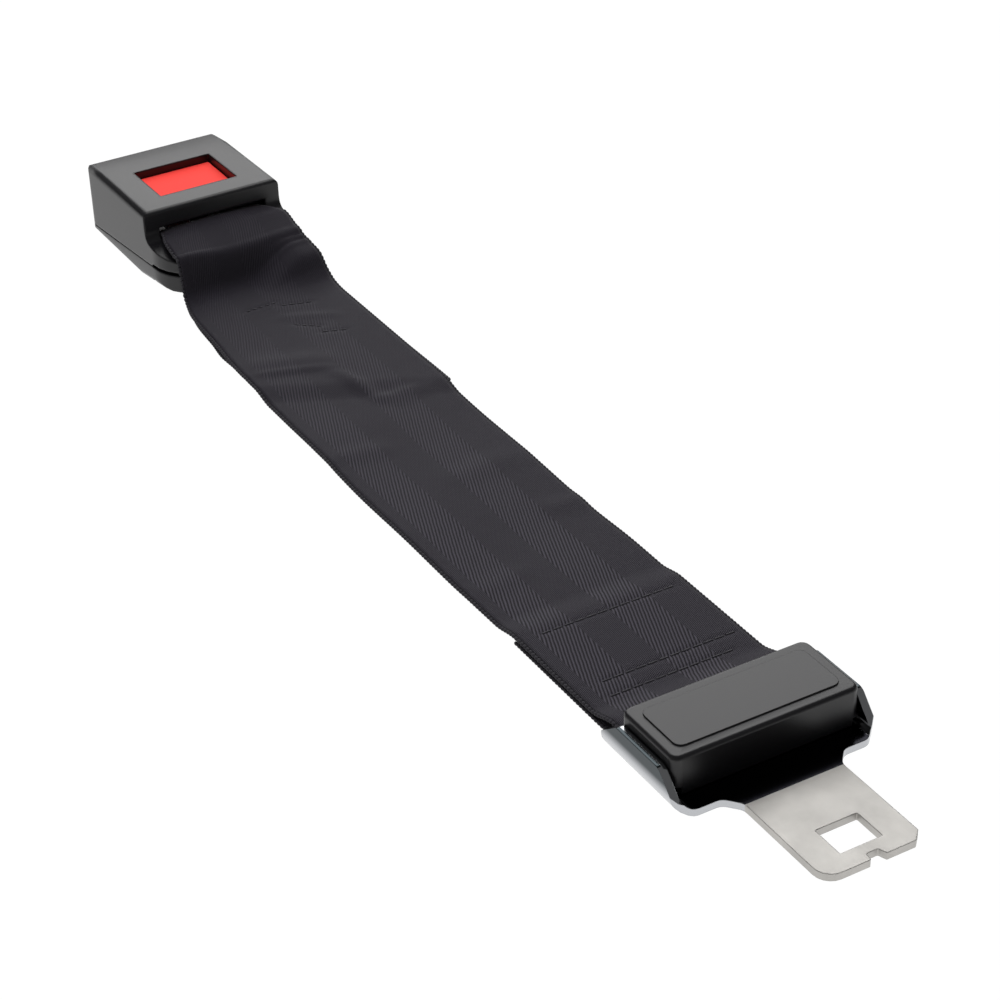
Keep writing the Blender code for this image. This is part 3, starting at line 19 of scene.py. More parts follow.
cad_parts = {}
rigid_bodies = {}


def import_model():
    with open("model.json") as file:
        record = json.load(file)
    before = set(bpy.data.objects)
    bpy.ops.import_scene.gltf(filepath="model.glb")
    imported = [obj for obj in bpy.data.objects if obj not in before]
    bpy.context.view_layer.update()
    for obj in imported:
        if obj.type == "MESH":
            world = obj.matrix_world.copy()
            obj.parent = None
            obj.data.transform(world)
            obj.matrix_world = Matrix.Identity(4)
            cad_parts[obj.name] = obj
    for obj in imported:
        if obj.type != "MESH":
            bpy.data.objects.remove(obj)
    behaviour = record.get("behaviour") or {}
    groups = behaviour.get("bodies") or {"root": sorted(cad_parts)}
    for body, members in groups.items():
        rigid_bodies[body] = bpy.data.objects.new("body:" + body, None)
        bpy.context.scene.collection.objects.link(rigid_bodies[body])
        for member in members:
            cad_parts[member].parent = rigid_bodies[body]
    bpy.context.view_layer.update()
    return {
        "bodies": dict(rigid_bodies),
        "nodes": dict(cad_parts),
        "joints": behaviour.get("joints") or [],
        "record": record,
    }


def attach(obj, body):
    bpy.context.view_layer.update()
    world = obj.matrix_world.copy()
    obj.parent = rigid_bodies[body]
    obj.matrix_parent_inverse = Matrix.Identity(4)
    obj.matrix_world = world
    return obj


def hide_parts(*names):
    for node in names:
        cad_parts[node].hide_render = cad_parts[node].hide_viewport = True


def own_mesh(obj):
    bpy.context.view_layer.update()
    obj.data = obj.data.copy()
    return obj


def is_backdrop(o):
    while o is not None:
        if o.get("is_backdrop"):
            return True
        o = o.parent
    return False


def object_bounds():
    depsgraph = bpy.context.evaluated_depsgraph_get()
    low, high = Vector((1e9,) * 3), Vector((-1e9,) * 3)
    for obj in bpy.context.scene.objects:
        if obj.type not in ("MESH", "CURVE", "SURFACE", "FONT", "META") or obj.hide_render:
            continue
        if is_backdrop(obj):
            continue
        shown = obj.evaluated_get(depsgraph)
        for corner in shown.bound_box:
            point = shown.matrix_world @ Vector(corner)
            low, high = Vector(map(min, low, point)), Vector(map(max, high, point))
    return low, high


LOG = logging.getLogger("seat_belt_extender")
MM = 0.001

Colour = tuple[float, float, float]
Triple = tuple[float, float, float]
Socket = bpy.types.NodeSocket
Value = float | bpy.types.NodeSocket
Station = Callable[[float], Vector]

# Places along the belt: the buckle's lip, throat and bar, then the block and what it covers.
LIP_X = -144.1
THROAT_X = -132.7
SETTLE_X = -118.7
BAR_X = -150.9
BLOCK_X = 139.6
PLATE_REAR_X = BLOCK_X - 15.5
LOAD_BAR_X = BLOCK_X - 9.5

# The belt's own sizes, and the bars that it loops round.
WEB_HALF = 24.25
WEB_THICKNESS = 1.2
SELVAGE = 0.45
LOOP_HALF = 17.0
BAR_Z = 10.0
BAR_LOOP = 2.9
LOAD_BAR_Z = 2.8
LOAD_LOOP = 1.9

# Heights of its layers, and the ends of its two laps.
FLAT_Z = 0.7
LAYER = 1.5
THROAT_FLOOR_Z = 5.5
STEP_RUN = 10.0
TONGUE_LAP_X = LOAD_BAR_X - 51.0
BUCKLE_LAP_X = LIP_X + 88.7
LAP_SKEW = 12.0

# Each coil's joint, the axis it flattens along, its seat in metres, and the share it keeps.
SPRINGS = {
    "latch_spring": ("latch_swing", (0.0, 0.0, 1.0), (-0.1659, 0.0, 0.00495), 0.40),
    "ejector_spring": ("ejector_slide", (1.0, 0.0, 0.0), (-0.15655, 0.0, 0.0128), 0.51),
}


class Layer(Enum):
    """Which run of the folded webbing a point is on."""

    UPPER = "upper"
    UNDER = "under"


def placed(name: str, data: bpy.types.ID) -> bpy.types.Object:
    """Put an object with the given data in the scene.

    Args:
        name: Name of the object.
        data: Its mesh, light or camera.

    Returns:
        The new object.
    """
    made = bpy.data.objects.new(name, data)
    bpy.context.scene.collection.objects.link(made)
    return made


class Graph:
    """A new material, and a helper that adds nodes to it and wires them."""

    bevel_samples = 6

    def __init__(self, name: str) -> None:
        """Make the material.

        Args:
            name: Name of the material.
        """
        self.material = bpy.data.materials.new(name)
        self.material.use_nodes = True
        self.tree = self.material.node_tree
        self.shader = self.tree.nodes["Principled BSDF"]

    def dress(self, values: dict[str, float | Triple]) -> None:
        """Set plain values on the shader.

        Args:
            values: Numbers or colours, by the shader's input names.
        """
        for name, value in values.items():
            plain = (*value, 1.0) if isinstance(value, tuple) else value
            self.shader.inputs[name].default_value = plain

    def feed(self, source: Socket, name: str) -> None:
        """Join an output socket to one of the shader's inputs.

        Args:
            source: Output socket.
            name: The shader's input name.
        """
        self.link(source, self.shader.inputs[name])

    def add(self, kind: str, **settings: object) -> bpy.types.Node:
        """Add a node.

        Args:
            kind: Blender's node type name.
            **settings: Properties to set on the node.

        Returns:
            The new node.
        """
        node = self.tree.nodes.new(kind)
        for key, value in settings.items():
            setattr(node, key, value)
        return node

    def link(self, source: Socket, target: Socket) -> None:
        """Join an output socket to an input socket.

        Args:
            source: Output socket.
            target: Input socket.
        """
        self.tree.links.new(source, target)

    def math(self, operation: str, *values: Value) -> Socket:
        """Add a Math node.

        Args:
            operation: Blender's operation name.
            *values: Numbers or output sockets, in order.

        Returns:
            The node's output socket.
        """
        node = self.add("ShaderNodeMath", operation=operation)
        for slot, value in zip(node.inputs, values):
            if isinstance(value, (int, float)):
                slot.default_value = value
            else:
                self.link(value, slot)
        return node.outputs[0]

    def product(self, *shares: Socket) -> Socket:
        """Multiply several sockets.

        Args:
            *shares: Output sockets.

        Returns:
            The product's socket.
        """
        total = shares[0]
        for share in shares[1:]:
            total = self.math("MULTIPLY", total, share)
        return total

    def mix(self, share: Value, low: Colour | Socket, high: Colour | Socket) -> Socket:
        """Blend two colours.

        Args:
            share: Number or socket, 0 for low and 1 for high.
            low: Colour or socket.
            high: Colour or socket.

        Returns:
            The blended colour's socket.
        """
        node = self.add("ShaderNodeMix", data_type="RGBA")
        slots = (node.inputs[0], node.inputs[6], node.inputs[7])
        for slot, value in zip(slots, (share, low, high)):
            if isinstance(value, (int, float)):
                slot.default_value = value
            elif isinstance(value, tuple):
                slot.default_value = (*value, 1.0)
            else:
                self.link(value, slot)
        return node.outputs[2]

    def mix_value(self, share: Socket, low: Socket, high: float) -> Socket:
        """Blend two numbers.

        Args:
            share: Part of the second number.
            low: First number's socket.
            high: Second number.

        Returns:
            The blend's socket.
        """
        rest = self.math("MULTIPLY", low, self.math("SUBTRACT", 1.0, share))
        return self.math("MULTIPLY_ADD", share, high, rest)

    def ramp(self, value: Socket, low: float, high: float) -> Socket:
        """Rise from 0 to 1 between two values, and stay there outside them.

        Args:
            value: What is read.
            low: Where the rise begins.
            high: Where it ends.

        Returns:
            The share's socket.
        """
        node = self.add("ShaderNodeMapRange", clamp=True)
        node.inputs["From Min"].default_value = low
        node.inputs["From Max"].default_value = high
        self.link(value, node.inputs["Value"])
        return node.outputs[0]

    def place(self) -> Socket:
        """Object coordinates in metres."""
        return self.add("ShaderNodeTexCoord").outputs["Object"]

    def split(self, vector: Socket) -> tuple[Socket, ...]:
        """Part a vector into its three numbers.

        Args:
            vector: The vector's socket.

        Returns:
            Sockets of x, y and z.
        """
        node = self.add("ShaderNodeSeparateXYZ")
        self.link(vector, node.inputs[0])
        return tuple(node.outputs)

    def noise(self, vector: Socket, scale: float, detail: float = 2.0) -> Socket:
        """Add a noise texture.

        Args:
            vector: Where it is read.
            scale: Noise scale per unit of the vector.
            detail: Noise detail.

        Returns:
            The noise's socket, from 0 to 1.
        """
        node = self.add("ShaderNodeTexNoise")
        node.inputs["Scale"].default_value = scale
        node.inputs["Detail"].default_value = detail
        self.link(vector, node.inputs["Vector"])
        return node.outputs["Fac"]

    def soft_edges(self, radius: float) -> Socket:
        """Round the shading of edges.

        Args:
            radius: Radius of the edges.

        Returns:
            The normal's socket.
        """
        node = self.add("ShaderNodeBevel", samples=self.bevel_samples)
        node.inputs["Radius"].default_value = radius * MM
        return node.outputs[0]

    def bump(
        self, height: Socket, strength: float, depth: float, normal: Socket | None = None
    ) -> Socket:
        """Shade a relief.

        Args:
            height: The relief, from 0 to 1.
            strength: Share of the relief that shows.
            depth: Depth of the relief.
            normal: Normal that it is laid over, or None for the mesh's own.

        Returns:
            The normal's socket.
        """
        node = self.add("ShaderNodeBump")
        node.inputs["Strength"].default_value = strength
        node.inputs["Distance"].default_value = depth * MM
        self.link(height, node.inputs["Height"])
        if normal is not None:
            self.link(normal, node.inputs["Normal"])
        return node.outputs[0]


@dataclass(frozen=True)
class Finish:
    """A plain finish: one colour, one roughness, and optional grain and softened edges."""

    name: str
    colour: Colour
    roughness: float
    metallic: float = 0.0
    specular: float = 0.5
    grain: float = 0.0
    edge_radius: float = 0.0
    grain_per_m: float = 2500.0
    grain_detail: float = 3.0
    grain_depth: float = 0.05

    def build(self) -> bpy.types.Material:
        """Make the material.

        Returns:
            The finished material.
        """
        graph = Graph(self.name)
        graph.dress({
            "Base Color": self.colour,
            "Roughness": self.roughness,
            "Metallic": self.metallic,
            "Specular IOR Level": self.specular,
        })
        normal = graph.soft_edges(self.edge_radius) if self.edge_radius > 0 else None
        if self.grain > 0:
            noise = graph.noise(graph.place(), self.grain_per_m, self.grain_detail)
            normal = graph.bump(noise, self.grain, self.grain_depth, normal)
        if normal is not None:
            graph.feed(normal, "Normal")
        return graph.material


@dataclass(frozen=True)
class ChromeFinish:
    """Plated sheet: bright up to the tongue's root, satin and a little mottled beyond it.

    The floor beside the block and the upper outer flanks are darker: painted dark reflections.
    """

    name: str = "plated_sheet"
    bright: Colour = (0.50, 0.51, 0.53)
    satin: Colour = (0.54, 0.525, 0.50)
    # Painted dark reflection on the upper part of the outer flanks, for the dark surroundings they
    # mirror.
    painted_flank_reflection: Colour = (0.045, 0.055, 0.060)
    # Painted dark reflection on the floor beside the block, for the black block it mirrors.
    shaded: Colour = (0.012, 0.012, 0.016)
    roughness: float = 0.10
    satin_roughness: float = 0.46
    edge_radius: float = 0.35
    root: float = 21.4
    flank_half: float = 27.25
    flank_base: float = 5.6
    flank_blend: float = 1.2
    flank_turn: float = 0.3
    floor_top: float = 4.2
    floor_turn: float = 0.985
    mottle_per_m: float = 110.0
    mottle_detail: float = 5.0
    mottle_low: float = 0.75
    mottle_gain: float = 0.5
    grain_per_m: Triple = (260.0, 2400.0, 2400.0)
    grain_detail: float = 5.0
    grain_roughness: float = 0.06
    grain_strength: float = 0.10
    grain_depth: float = 0.03

    def sheet_colour(self, graph: Graph, beyond: Socket) -> Socket:
        """Colour of the bright zone, the satin zone and the two zones of painted dark reflection.

        Args:
            graph: The material's node helper.
            beyond: Share that is 1 beyond the tongue's root.

        Returns:
            The colour's socket.
        """
        _, y, z = graph.split(graph.place())
        turn_x, _, turn_z = graph.split(graph.add("ShaderNodeNewGeometry").outputs["True Normal"])
        outer = graph.math("GREATER_THAN", graph.math("ABSOLUTE", y), self.flank_half * MM)
        base, blend = self.flank_base * MM, self.flank_blend * MM
        # Painted reflection: the upper outer flanks take a dark colour for the surroundings they
        # mirror.
        painted_flank_reflection = graph.product(
            outer,
            graph.ramp(z, base - blend, base + blend),
            graph.math("LESS_THAN", turn_x, self.flank_turn),
        )
        # Painted reflection: upward faces inside the flanks and below 4.2 mm take a near-black
        # colour before the tongue's root, for the black block they mirror.
        floor = graph.product(
            graph.math("GREATER_THAN", turn_z, self.floor_turn),
            graph.math("SUBTRACT", 1.0, outer),
            graph.math("LESS_THAN", z, self.floor_top * MM),
        )
        mottle = graph.noise(graph.place(), self.mottle_per_m, self.mottle_detail)
        satin = graph.add("ShaderNodeVectorMath", operation="SCALE")
        satin.inputs[0].default_value = self.satin
        graph.link(
            graph.math("MULTIPLY_ADD", mottle, self.mottle_gain, self.mottle_low),
            satin.inputs["Scale"],
        )
        near = graph.mix(floor, self.bright, self.shaded)
        return graph.mix(painted_flank_reflection, graph.mix(beyond, near, satin.outputs[0]), self.painted_flank_reflection)

    def build(self) -> bpy.types.Material:
        """Make the material.

        Returns:
            The finished material.
        """
        graph = Graph(self.name)
        graph.dress({"Metallic": 1.0})
        x, _, _ = graph.split(graph.place())
        beyond = graph.math("GREATER_THAN", x, (BLOCK_X + self.root) * MM)
        graph.feed(self.sheet_colour(graph, beyond), "Base Color")
        stretch = graph.add("ShaderNodeMapping")
        stretch.inputs["Scale"].default_value = self.grain_per_m
        graph.link(graph.place(), stretch.inputs["Vector"])
        grain = graph.noise(stretch.outputs[0], 1.0, self.grain_detail)
        rise = self.satin_roughness - self.roughness
        rough = graph.math("MULTIPLY_ADD", beyond, rise, self.roughness)
        rough = graph.math("MULTIPLY_ADD", grain, self.grain_roughness, rough)
        graph.feed(rough, "Roughness")
        edges = graph.soft_edges(self.edge_radius)
        graph.feed(graph.bump(grain, self.grain_strength, self.grain_depth, edges), "Normal")
        return graph.material


@dataclass(frozen=True)
class Twill:
    """Slanted ribs: the distance between two, and how far one drifts per millimetre of run."""

    pitch: float
    lean: float

    def build(self, graph: Graph, across: Socket, along: Socket) -> Socket:
        """Height of the ribs: 0 between them, 1 on their crowns.

        Args:
            graph: The material's node helper.
            across: Millimetres over the ribs.
            along: Millimetres along them.

        Returns:
            The height's socket.
        """
        drift = graph.math("MULTIPLY", along, self.lean)
        phase = graph.math("DIVIDE", graph.math("SUBTRACT", across, drift), self.pitch)
        wave = graph.math("SINE", graph.math("MULTIPLY", phase, tau))
        return graph.math("MULTIPLY_ADD", wave, 0.5, 0.5)


@dataclass(frozen=True)
class WeaveFinish:
    """Belt webbing in five lengthwise bands: smooth, ribbed, smooth, ribbed, smooth.

    The mesh's UV map holds millimetres over the width and along the length.
    """

    name: str = "webbing_weave"
    colour: Colour = (0.070, 0.064, 0.081)
    # Painted shade: the weave's low parts darken towards this colour.
    painted_crevice_shade: Colour = (0.005, 0.004, 0.0068)
    roughness: float = 0.78
    specular: float = 0.28
    sheen: float = 0.12
    sheen_roughness: float = 0.4
    ribbed_bands: tuple[tuple[float, float], ...] = ((-20.4, -9.4), (1.2, 13.0))
    coarse: Twill = Twill(0.94, 0.38)
    fine: Twill = Twill(0.85, 1.7)
    yarn: Twill = Twill(0.62, 0.25)
    fine_base: float = 0.08
    fine_height: float = 0.62
    yarn_height: float = 0.10
    fuzz_per_mm: float = 2.2
    fuzz_detail: float = 4.0
    fuzz_height: float = 0.22
    sway: float = 0.36
    sway_per_mm: float = 0.35
    # Near the buckle: calmer weave for wear, and a darker colour that is painted shade.
    worn_and_shaded_run: tuple[float, float] = (110.0, 300.0)
    worn_and_shaded_share: float = 0.80
    worn_and_shaded_height: float = 0.36
    shade_run: tuple[float, float] = (0.20, 1.05)
    relief_strength: float = 0.8
    relief_depth: float = 0.26

    def ribbed(self, graph: Graph, across: Socket) -> Socket:
        """Share that is 1 on the ribbed bands.

        Args:
            graph: The material's node helper.
            across: Millimetres over the width.

        Returns:
            The share's socket.
        """
        bands = [
            graph.product(
                graph.math("GREATER_THAN", across, low), graph.math("LESS_THAN", across, high)
            )
            for low, high in self.ribbed_bands
        ]
        return graph.math("ADD", *bands)

    def relief(self, graph: Graph, belt: Socket) -> Socket:
        """Height of the weave; calmer near the buckle, as wear, and darker there, as painted
        shade.

        Args:
            graph: The material's node helper.
            belt: The UV map's socket.

        Returns:
            The height's socket.
        """
        across, along, _ = graph.split(belt)
        wobble = graph.noise(belt, self.sway_per_mm)
        sway = graph.math("MULTIPLY_ADD", wobble, self.sway, -self.sway / 2)
        across = graph.math("ADD", across, sway)
        ribbed = self.ribbed(graph, across)
        plain = graph.math("SUBTRACT", 1.0, ribbed)
        fine = self.fine.build(graph, across, along)
        fine = graph.math("MULTIPLY_ADD", fine, self.fine_height, self.fine_base)
        height = graph.math(
            "ADD",
            graph.product(self.coarse.build(graph, across, along), ribbed),
            graph.product(fine, plain),
        )
        yarn = self.yarn.build(graph, along, across)
        height = graph.math("MULTIPLY_ADD", yarn, self.yarn_height, height)
        fuzz = graph.noise(belt, self.fuzz_per_mm, self.fuzz_detail)
        height = graph.math("MULTIPLY_ADD", fuzz, self.fuzz_height, height)
        # Painted shade as well as wear: the calm run also sets the darker colour.
        worn_and_shaded = graph.math("MULTIPLY", graph.ramp(along, *self.worn_and_shaded_run), self.worn_and_shaded_share)
        return graph.mix_value(worn_and_shaded, height, self.worn_and_shaded_height)

    def build(self) -> bpy.types.Material:
        """Make the material.

        Returns:
            The finished material.
        """
        graph = Graph(self.name)
        graph.dress({
            "Roughness": self.roughness,
            "Specular IOR Level": self.specular,
            "Sheen Weight": self.sheen,
            "Sheen Roughness": self.sheen_roughness,
        })
        belt = graph.add("ShaderNodeUVMap", uv_map="belt_mm").outputs[0]
        height = self.relief(graph, belt)
        # Painted shade: the colour runs from the crevice colour on low relief to the yarn colour
        # on high relief.
        shade = graph.ramp(height, *self.shade_run)
        graph.feed(graph.mix(shade, self.painted_crevice_shade, self.colour), "Base Color")
        graph.feed(graph.bump(height, self.relief_strength, self.relief_depth), "Normal")
        return graph.material


@dataclass(frozen=True)
class Palette:
    """Every finish in the scene."""

    shell: Finish = Finish(
        "buckle_plastic", (0.009, 0.0085, 0.010), 0.34, specular=0.42, grain=0.16, edge_radius=0.9
    )
    block: Finish = Finish(
        "block_plastic", (0.008, 0.0075, 0.009), 0.36, grain=0.2, edge_radius=0.25
    )
    button: Finish = Finish(
        "button_red", (1.0, 0.070, 0.058), 0.60, specular=0.08, grain=0.08, edge_radius=0.3
    )
    steel: Finish = Finish(
        "zinc_steel", (0.52, 0.52, 0.53), 0.32, metallic=1.0, grain=0.1, edge_radius=0.2
    )
    # Painted shade: the buckle frame is made near black for the shade under the buckle's lip.
    frame_steel_painted_shade: Finish = Finish(
        "frame_steel_painted_shade", (0.035, 0.035, 0.037), 0.5, grain=0.1, edge_radius=0.2
    )
    dark_steel: Finish = Finish("screw_steel", (0.10, 0.10, 0.105), 0.45, metallic=1.0)
    acetal: Finish = Finish("ejector_plastic", (0.18, 0.18, 0.19), 0.5, edge_radius=0.2)
    thread: Finish = Finish("sewing_thread", (0.038, 0.036, 0.042), 0.6, specular=0.4)
    selvage: Finish = Finish(
        "selvage_yarn", (0.036, 0.034, 0.040), 0.75, specular=0.3, grain=0.5
    )
    plate: ChromeFinish = ChromeFinish()
    weave: WeaveFinish = WeaveFinish()


def ease(start: float, end: float, value: float) -> float:
    """Ease from 0 at start to 1 at end.

    Args:
        start: Where the rise begins.
        end: Where it is complete.
        value: Where to read it.

    Returns:
        The share from 0 to 1.
    """
    share = min(1.0, max(0.0, (value - start) / (end - start)))
    return share * share * (3.0 - 2.0 * share)


@dataclass(frozen=True)
class Line:
    """A smooth line through (x, value) knots that go up in x, flat beyond its ends."""

    knots: tuple[tuple[float, float], ...]

    def __call__(self, x: float) -> float:
        """Read the line.

        Args:
            x: Position.

        Returns:
            The value there.
        """
        knots = self.knots
        if x <= knots[0][0]:
            return knots[0][1]
        for k in range(len(knots) - 1):
            (x0, y0), (x1, y1) = knots[k], knots[k + 1]
            if x > x1:
                continue
            run = x1 - x0
            share = (x - x0) / run
            last = k + 2 >= len(knots)
            slope0 = (y1 - knots[k - 1][1]) / (x1 - knots[k - 1][0]) if k else 0.0
            slope1 = 0.0 if last else (knots[k + 2][1] - y0) / (knots[k + 2][0] - x0)
            value = (
                y0 * (1 + 2 * share) * (1 - share) ** 2
                + slope0 * run * share * (1 - share) ** 2
                + y1 * share**2 * (3 - 2 * share)
                + slope1 * run * share**2 * (share - 1)
            )
            return min(max(y0, y1), max(min(y0, y1), value))
        return knots[-1][1]


@dataclass(frozen=True)
class Fold:
    """A soft ridge or crease on the upper layer, with its middle, run and width."""

    x: float
    y: float
    angle_deg: float
    half_length: float
    half_width: float
    height: float

    def __call__(self, x: float, y: float) -> float:
        """Height that the fold adds.

        Args:
            x: Position along the belt.
            y: Position over its width.

        Returns:
            The height in millimetres.
        """
        turn = radians(self.angle_deg)
        run = (x - self.x) * cos(turn) + (y - self.y) * sin(turn)
        off = (y - self.y) * cos(turn) - (x - self.x) * sin(turn)
        return self.height * exp(-((run / self.half_length) ** 4) - (off / self.half_width) ** 2)


@dataclass(frozen=True)
class Seam:
    """A straight row of sewing over the upper layer."""

    start: tuple[float, float]
    end: tuple[float, float]
    stitch: float = 2.6
    gap: float = 0.7
    sink: float = 0.28
    spread: float = 0.9
    reach: float = 4.0

    def distance(self, x: float, y: float) -> float:
        """Distance from the row.

        Args:
            x: Position along the belt.
            y: Position over its width.

        Returns:
            The distance in millimetres.
        """
        (ax, ay), (bx, by) = self.start, self.end
        run = max(1e-6, (bx - ax) ** 2 + (by - ay) ** 2)
        share = min(1.0, max(0.0, ((x - ax) * (bx - ax) + (y - ay) * (by - ay)) / run))
        return ((x - ax - share * (bx - ax)) ** 2 + (y - ay - share * (by - ay)) ** 2) ** 0.5

    def dip(self, x: float, y: float) -> float:
        """Depth that the row pulls into the cloth.

        Args:
            x: Position along the belt.
            y: Position over its width.

        Returns:
            The depth in millimetres.
        """
        near = self.distance(x, y)
        return self.sink * exp(-((near / self.spread) ** 2)) if near < self.reach else 0.0

    def stitches(self) -> list[tuple[tuple[float, float], tuple[float, float]]]:
        """Ends of each stitch in the row.

        Returns:
            Pairs of (x, y) points.
        """
        start, end = Vector(self.start), Vector(self.end)
        length = (end - start).length
        count = max(1, round(length / (self.stitch + self.gap)))
        step = length / count
        course = (end - start) / length
        made = []
        for k in range(count):
            first = start + course * (k * step + self.gap / 2)
            second = start + course * ((k + 1) * step - self.gap / 2)
            made.append(((first.x, first.y), (second.x, second.y)))
        return made


@dataclass
class Webbing:
    """One length of belt looped round both bars, with its seams, selvages and folds."""

    palette: Palette

    # Steps of the mesh over the width, along the belt and round the bars.
    columns: int = 46
    fine_step: float = 0.55
    throat_step: float = 1.5
    coarse_step: float = 2.0
    load_bend_steps: int = 12
    bar_bend_steps: int = 14
    cloth_ease: float = 0.1

    # Runs over which the layers climb to the load bar, and the sideways shift of the laps.
    under_climb: float = 9.0
    upper_climb: float = 11.0
    climb_end: float = 0.5
    lap_lead: float = 6.0
    lap_shift: float = 1.6
    drift: float = 0.7
    drift_runs: tuple[float, float] = (60.0, 50.0)

    # How the single middle arches off the floor, and how the edges hang by the buckle.
    arch: float = 0.55
    arch_runs: tuple[float, float] = (30.0, 30.0)
    arch_wave: float = 9.0
    arch_lean: float = 1.3
    hang_power: float = 2.2
    sag_run: tuple[float, float] = (0.1, 0.82)
    detail_lead: float = 4.0

    # Sewing across the belt by the tongue, and the short tacks by the buckle.
    seams: tuple[Seam, ...] = (
        Seam((81.1, -18.5), (81.1, 20.5)),
        Seam((105.6, -16.5), (105.6, 22.3)),
        Seam((111.6, -18.0), (111.6, 17.5)),
    )
    tack: tuple[Seam, ...] = (
        Seam((-109.0, -7.0), (-109.5, 3.5), 1.2, 1.0, 0.24),
        Seam((-107.0, 3.5), (-104.0, 13.0), 1.3, 1.0, 0.24),
        Seam((-93.9, 1.6), (-88.6, 8.4), 1.4, 0.9, 0.26),
        Seam((-85.6, 6.3), (-82.8, 13.8), 1.3, 1.1, 0.24),
    )

    # Creases by the buckle first, then the shallow swells towards the tongue.
    folds: tuple[Fold, ...] = (
        Fold(-73.5, -9.5, 68.0, 12.0, 5.0, 1.0),
        Fold(-68.6, -11.5, 70.0, 11.5, 1.6, 0.5),
        Fold(-52.5, 1.1, 14.0, 11.0, 2.2, 0.8),
        Fold(-42.3, 8.5, 87.0, 6.0, 2.5, 0.7),
        Fold(-96.0, 8.0, 65.0, 9.0, 2.2, 0.45),
        Fold(-88.0, -3.0, -30.0, 10.0, 2.0, 0.35),
        Fold(-40.0, 12.0, 100.0, 7.0, 3.0, 0.5),
        Fold(-20.0, -16.0, 80.0, 9.0, 4.0, 0.5),
        Fold(5.0, 10.0, 95.0, 12.0, 5.0, 0.5),
        Fold(32.0, 19.0, 85.0, 7.0, 4.0, 0.6),
        Fold(55.0, -14.0, 100.0, 10.0, 4.0, 0.4),
    )

    # Heights, hanging edges and half widths from the buckle's bar to where the belt lies flat.
    under_buckle: Line = Line((
        (BAR_X, BAR_Z - BAR_LOOP), (LIP_X - 1.8, 6.0), (THROAT_X - 5.0, THROAT_FLOOR_Z + 0.2),
        (THROAT_X + 0.3, THROAT_FLOOR_Z), (THROAT_X + 4.0, 2.4), (THROAT_X + 9.0, FLAT_Z),
    ))
    upper_buckle: Line = Line((
        (BAR_X, BAR_Z + BAR_LOOP), (LIP_X - 3.0, 16.4), (LIP_X + 1.0, 17.7), (LIP_X + 5.0, 17.0),
        (LIP_X + 9.2, 15.7), (LIP_X + 13.2, 14.2), (LIP_X + 15.4, 13.1), (LIP_X + 16.8, 9.7),
        (LIP_X + 18.4, 5.1), (LIP_X + 20.7, 2.9), (SETTLE_X, 2.2),
    ))
    left_hang: Line = Line((
        (LIP_X - 5.5, 0.0), (LIP_X - 1.0, 0.9), (LIP_X + 3.0, 0.5), (LIP_X + 7.0, -0.2),
        (LIP_X + 13.5, -1.0), (LIP_X + 15.2, -1.7), (LIP_X + 16.6, -0.9), (LIP_X + 19.0, 0.0),
    ))
    right_hang: Line = Line((
        (LIP_X - 5.5, 0.0), (LIP_X - 1.0, 0.8), (LIP_X + 3.0, 0.4), (LIP_X + 6.8, -0.4),
        (LIP_X + 10.3, -0.3), (LIP_X + 13.5, -0.4), (LIP_X + 16.0, -1.3), (LIP_X + 17.5, -5.0),
        (LIP_X + 19.4, -8.2), (LIP_X + 22.0, -8.4), (LIP_X + 25.0, -7.2), (LIP_X + 28.0, -3.4),
        (LIP_X + 32.0, -0.9), (LIP_X + 40.0, 0.0),
    ))
    left_half: Line = Line((
        (LIP_X - 2.0, LOOP_HALF), (LIP_X + 2.2, 17.7), (LIP_X + 7.2, 19.0), (LIP_X + 17.0, 19.2),
        (LIP_X + 21.0, 19.8), (LIP_X + 29.0, 21.5), (LIP_X + 45.0, 22.6), (LIP_X + 70.0, WEB_HALF),
    ))
    right_half: Line = Line((
        (LIP_X - 2.0, LOOP_HALF), (LIP_X + 1.2, 17.6), (LIP_X + 5.2, 20.2), (LIP_X + 7.2, 21.3),
        (LIP_X + 14.0, 21.75), (LIP_X + 20.0, 22.75), (LIP_X + 31.0, WEB_HALF),
    ))
    under_half: Line = Line((
        (THROAT_X + 4.5, LOOP_HALF), (LIP_X + 24.0, 19.5), (LIP_X + 32.0, 21.3),
        (LIP_X + 48.0, 22.8), (LIP_X + 62.0, WEB_HALF),
    ))
    stations: list[Station] = field(default_factory=list)

    def lap_end(self, across: float) -> float:
        """X of the under layer's slanted end.

        Args:
            across: Share of the width, -1 to 1.

        Returns:
            The position in millimetres.
        """
        return BUCKLE_LAP_X + LAP_SKEW * across

    def under(self, x: float, across: float) -> Vector:
        """A point on the under layer's middle surface.

        Args:
            x: Position along the belt before the slant.
            across: Share of the width, -1 to 1.

        Returns:
            The point in millimetres.
        """
        if x > TONGUE_LAP_X - self.lap_lead:
            lift = ease(PLATE_REAR_X - self.under_climb, PLATE_REAR_X, x)
            z = FLAT_Z + (LOAD_BAR_Z - LOAD_LOOP - FLAT_Z) * lift
            return Vector((x, across * WEB_HALF, z))
        shear = ease(SETTLE_X, BUCKLE_LAP_X, x)
        y = across * self.under_half(x) + self.lap_shift * shear
        return Vector((x + LAP_SKEW * across * shear, y, self.under_buckle(x)))

    def detail(self, x: float, y: float) -> float:
        """Height that folds and seams add to the upper layer.

        Args:
            x: Position along the belt.
            y: Position over its width.

        Returns:
            The height in millimetres.
        """
        lift = sum(fold(x, y) for fold in self.folds)
        for seam in self.seams + self.tack:
            lift -= seam.dip(x, y)
        return lift

    def between_laps(self, x: float, rise: float, fall: float) -> float:
        """Share that is 1 in the belt's single middle and 0 on both sewn laps.

        Args:
            x: Position along the belt.
            rise: Run of the rise from the buckle's lap.
            fall: Run of the fall to the tongue's lap.

        Returns:
            The share from 0 to 1.
        """
        share = ease(BUCKLE_LAP_X, BUCKLE_LAP_X + rise, x)
        return share * (1.0 - ease(TONGUE_LAP_X - fall, TONGUE_LAP_X, x))

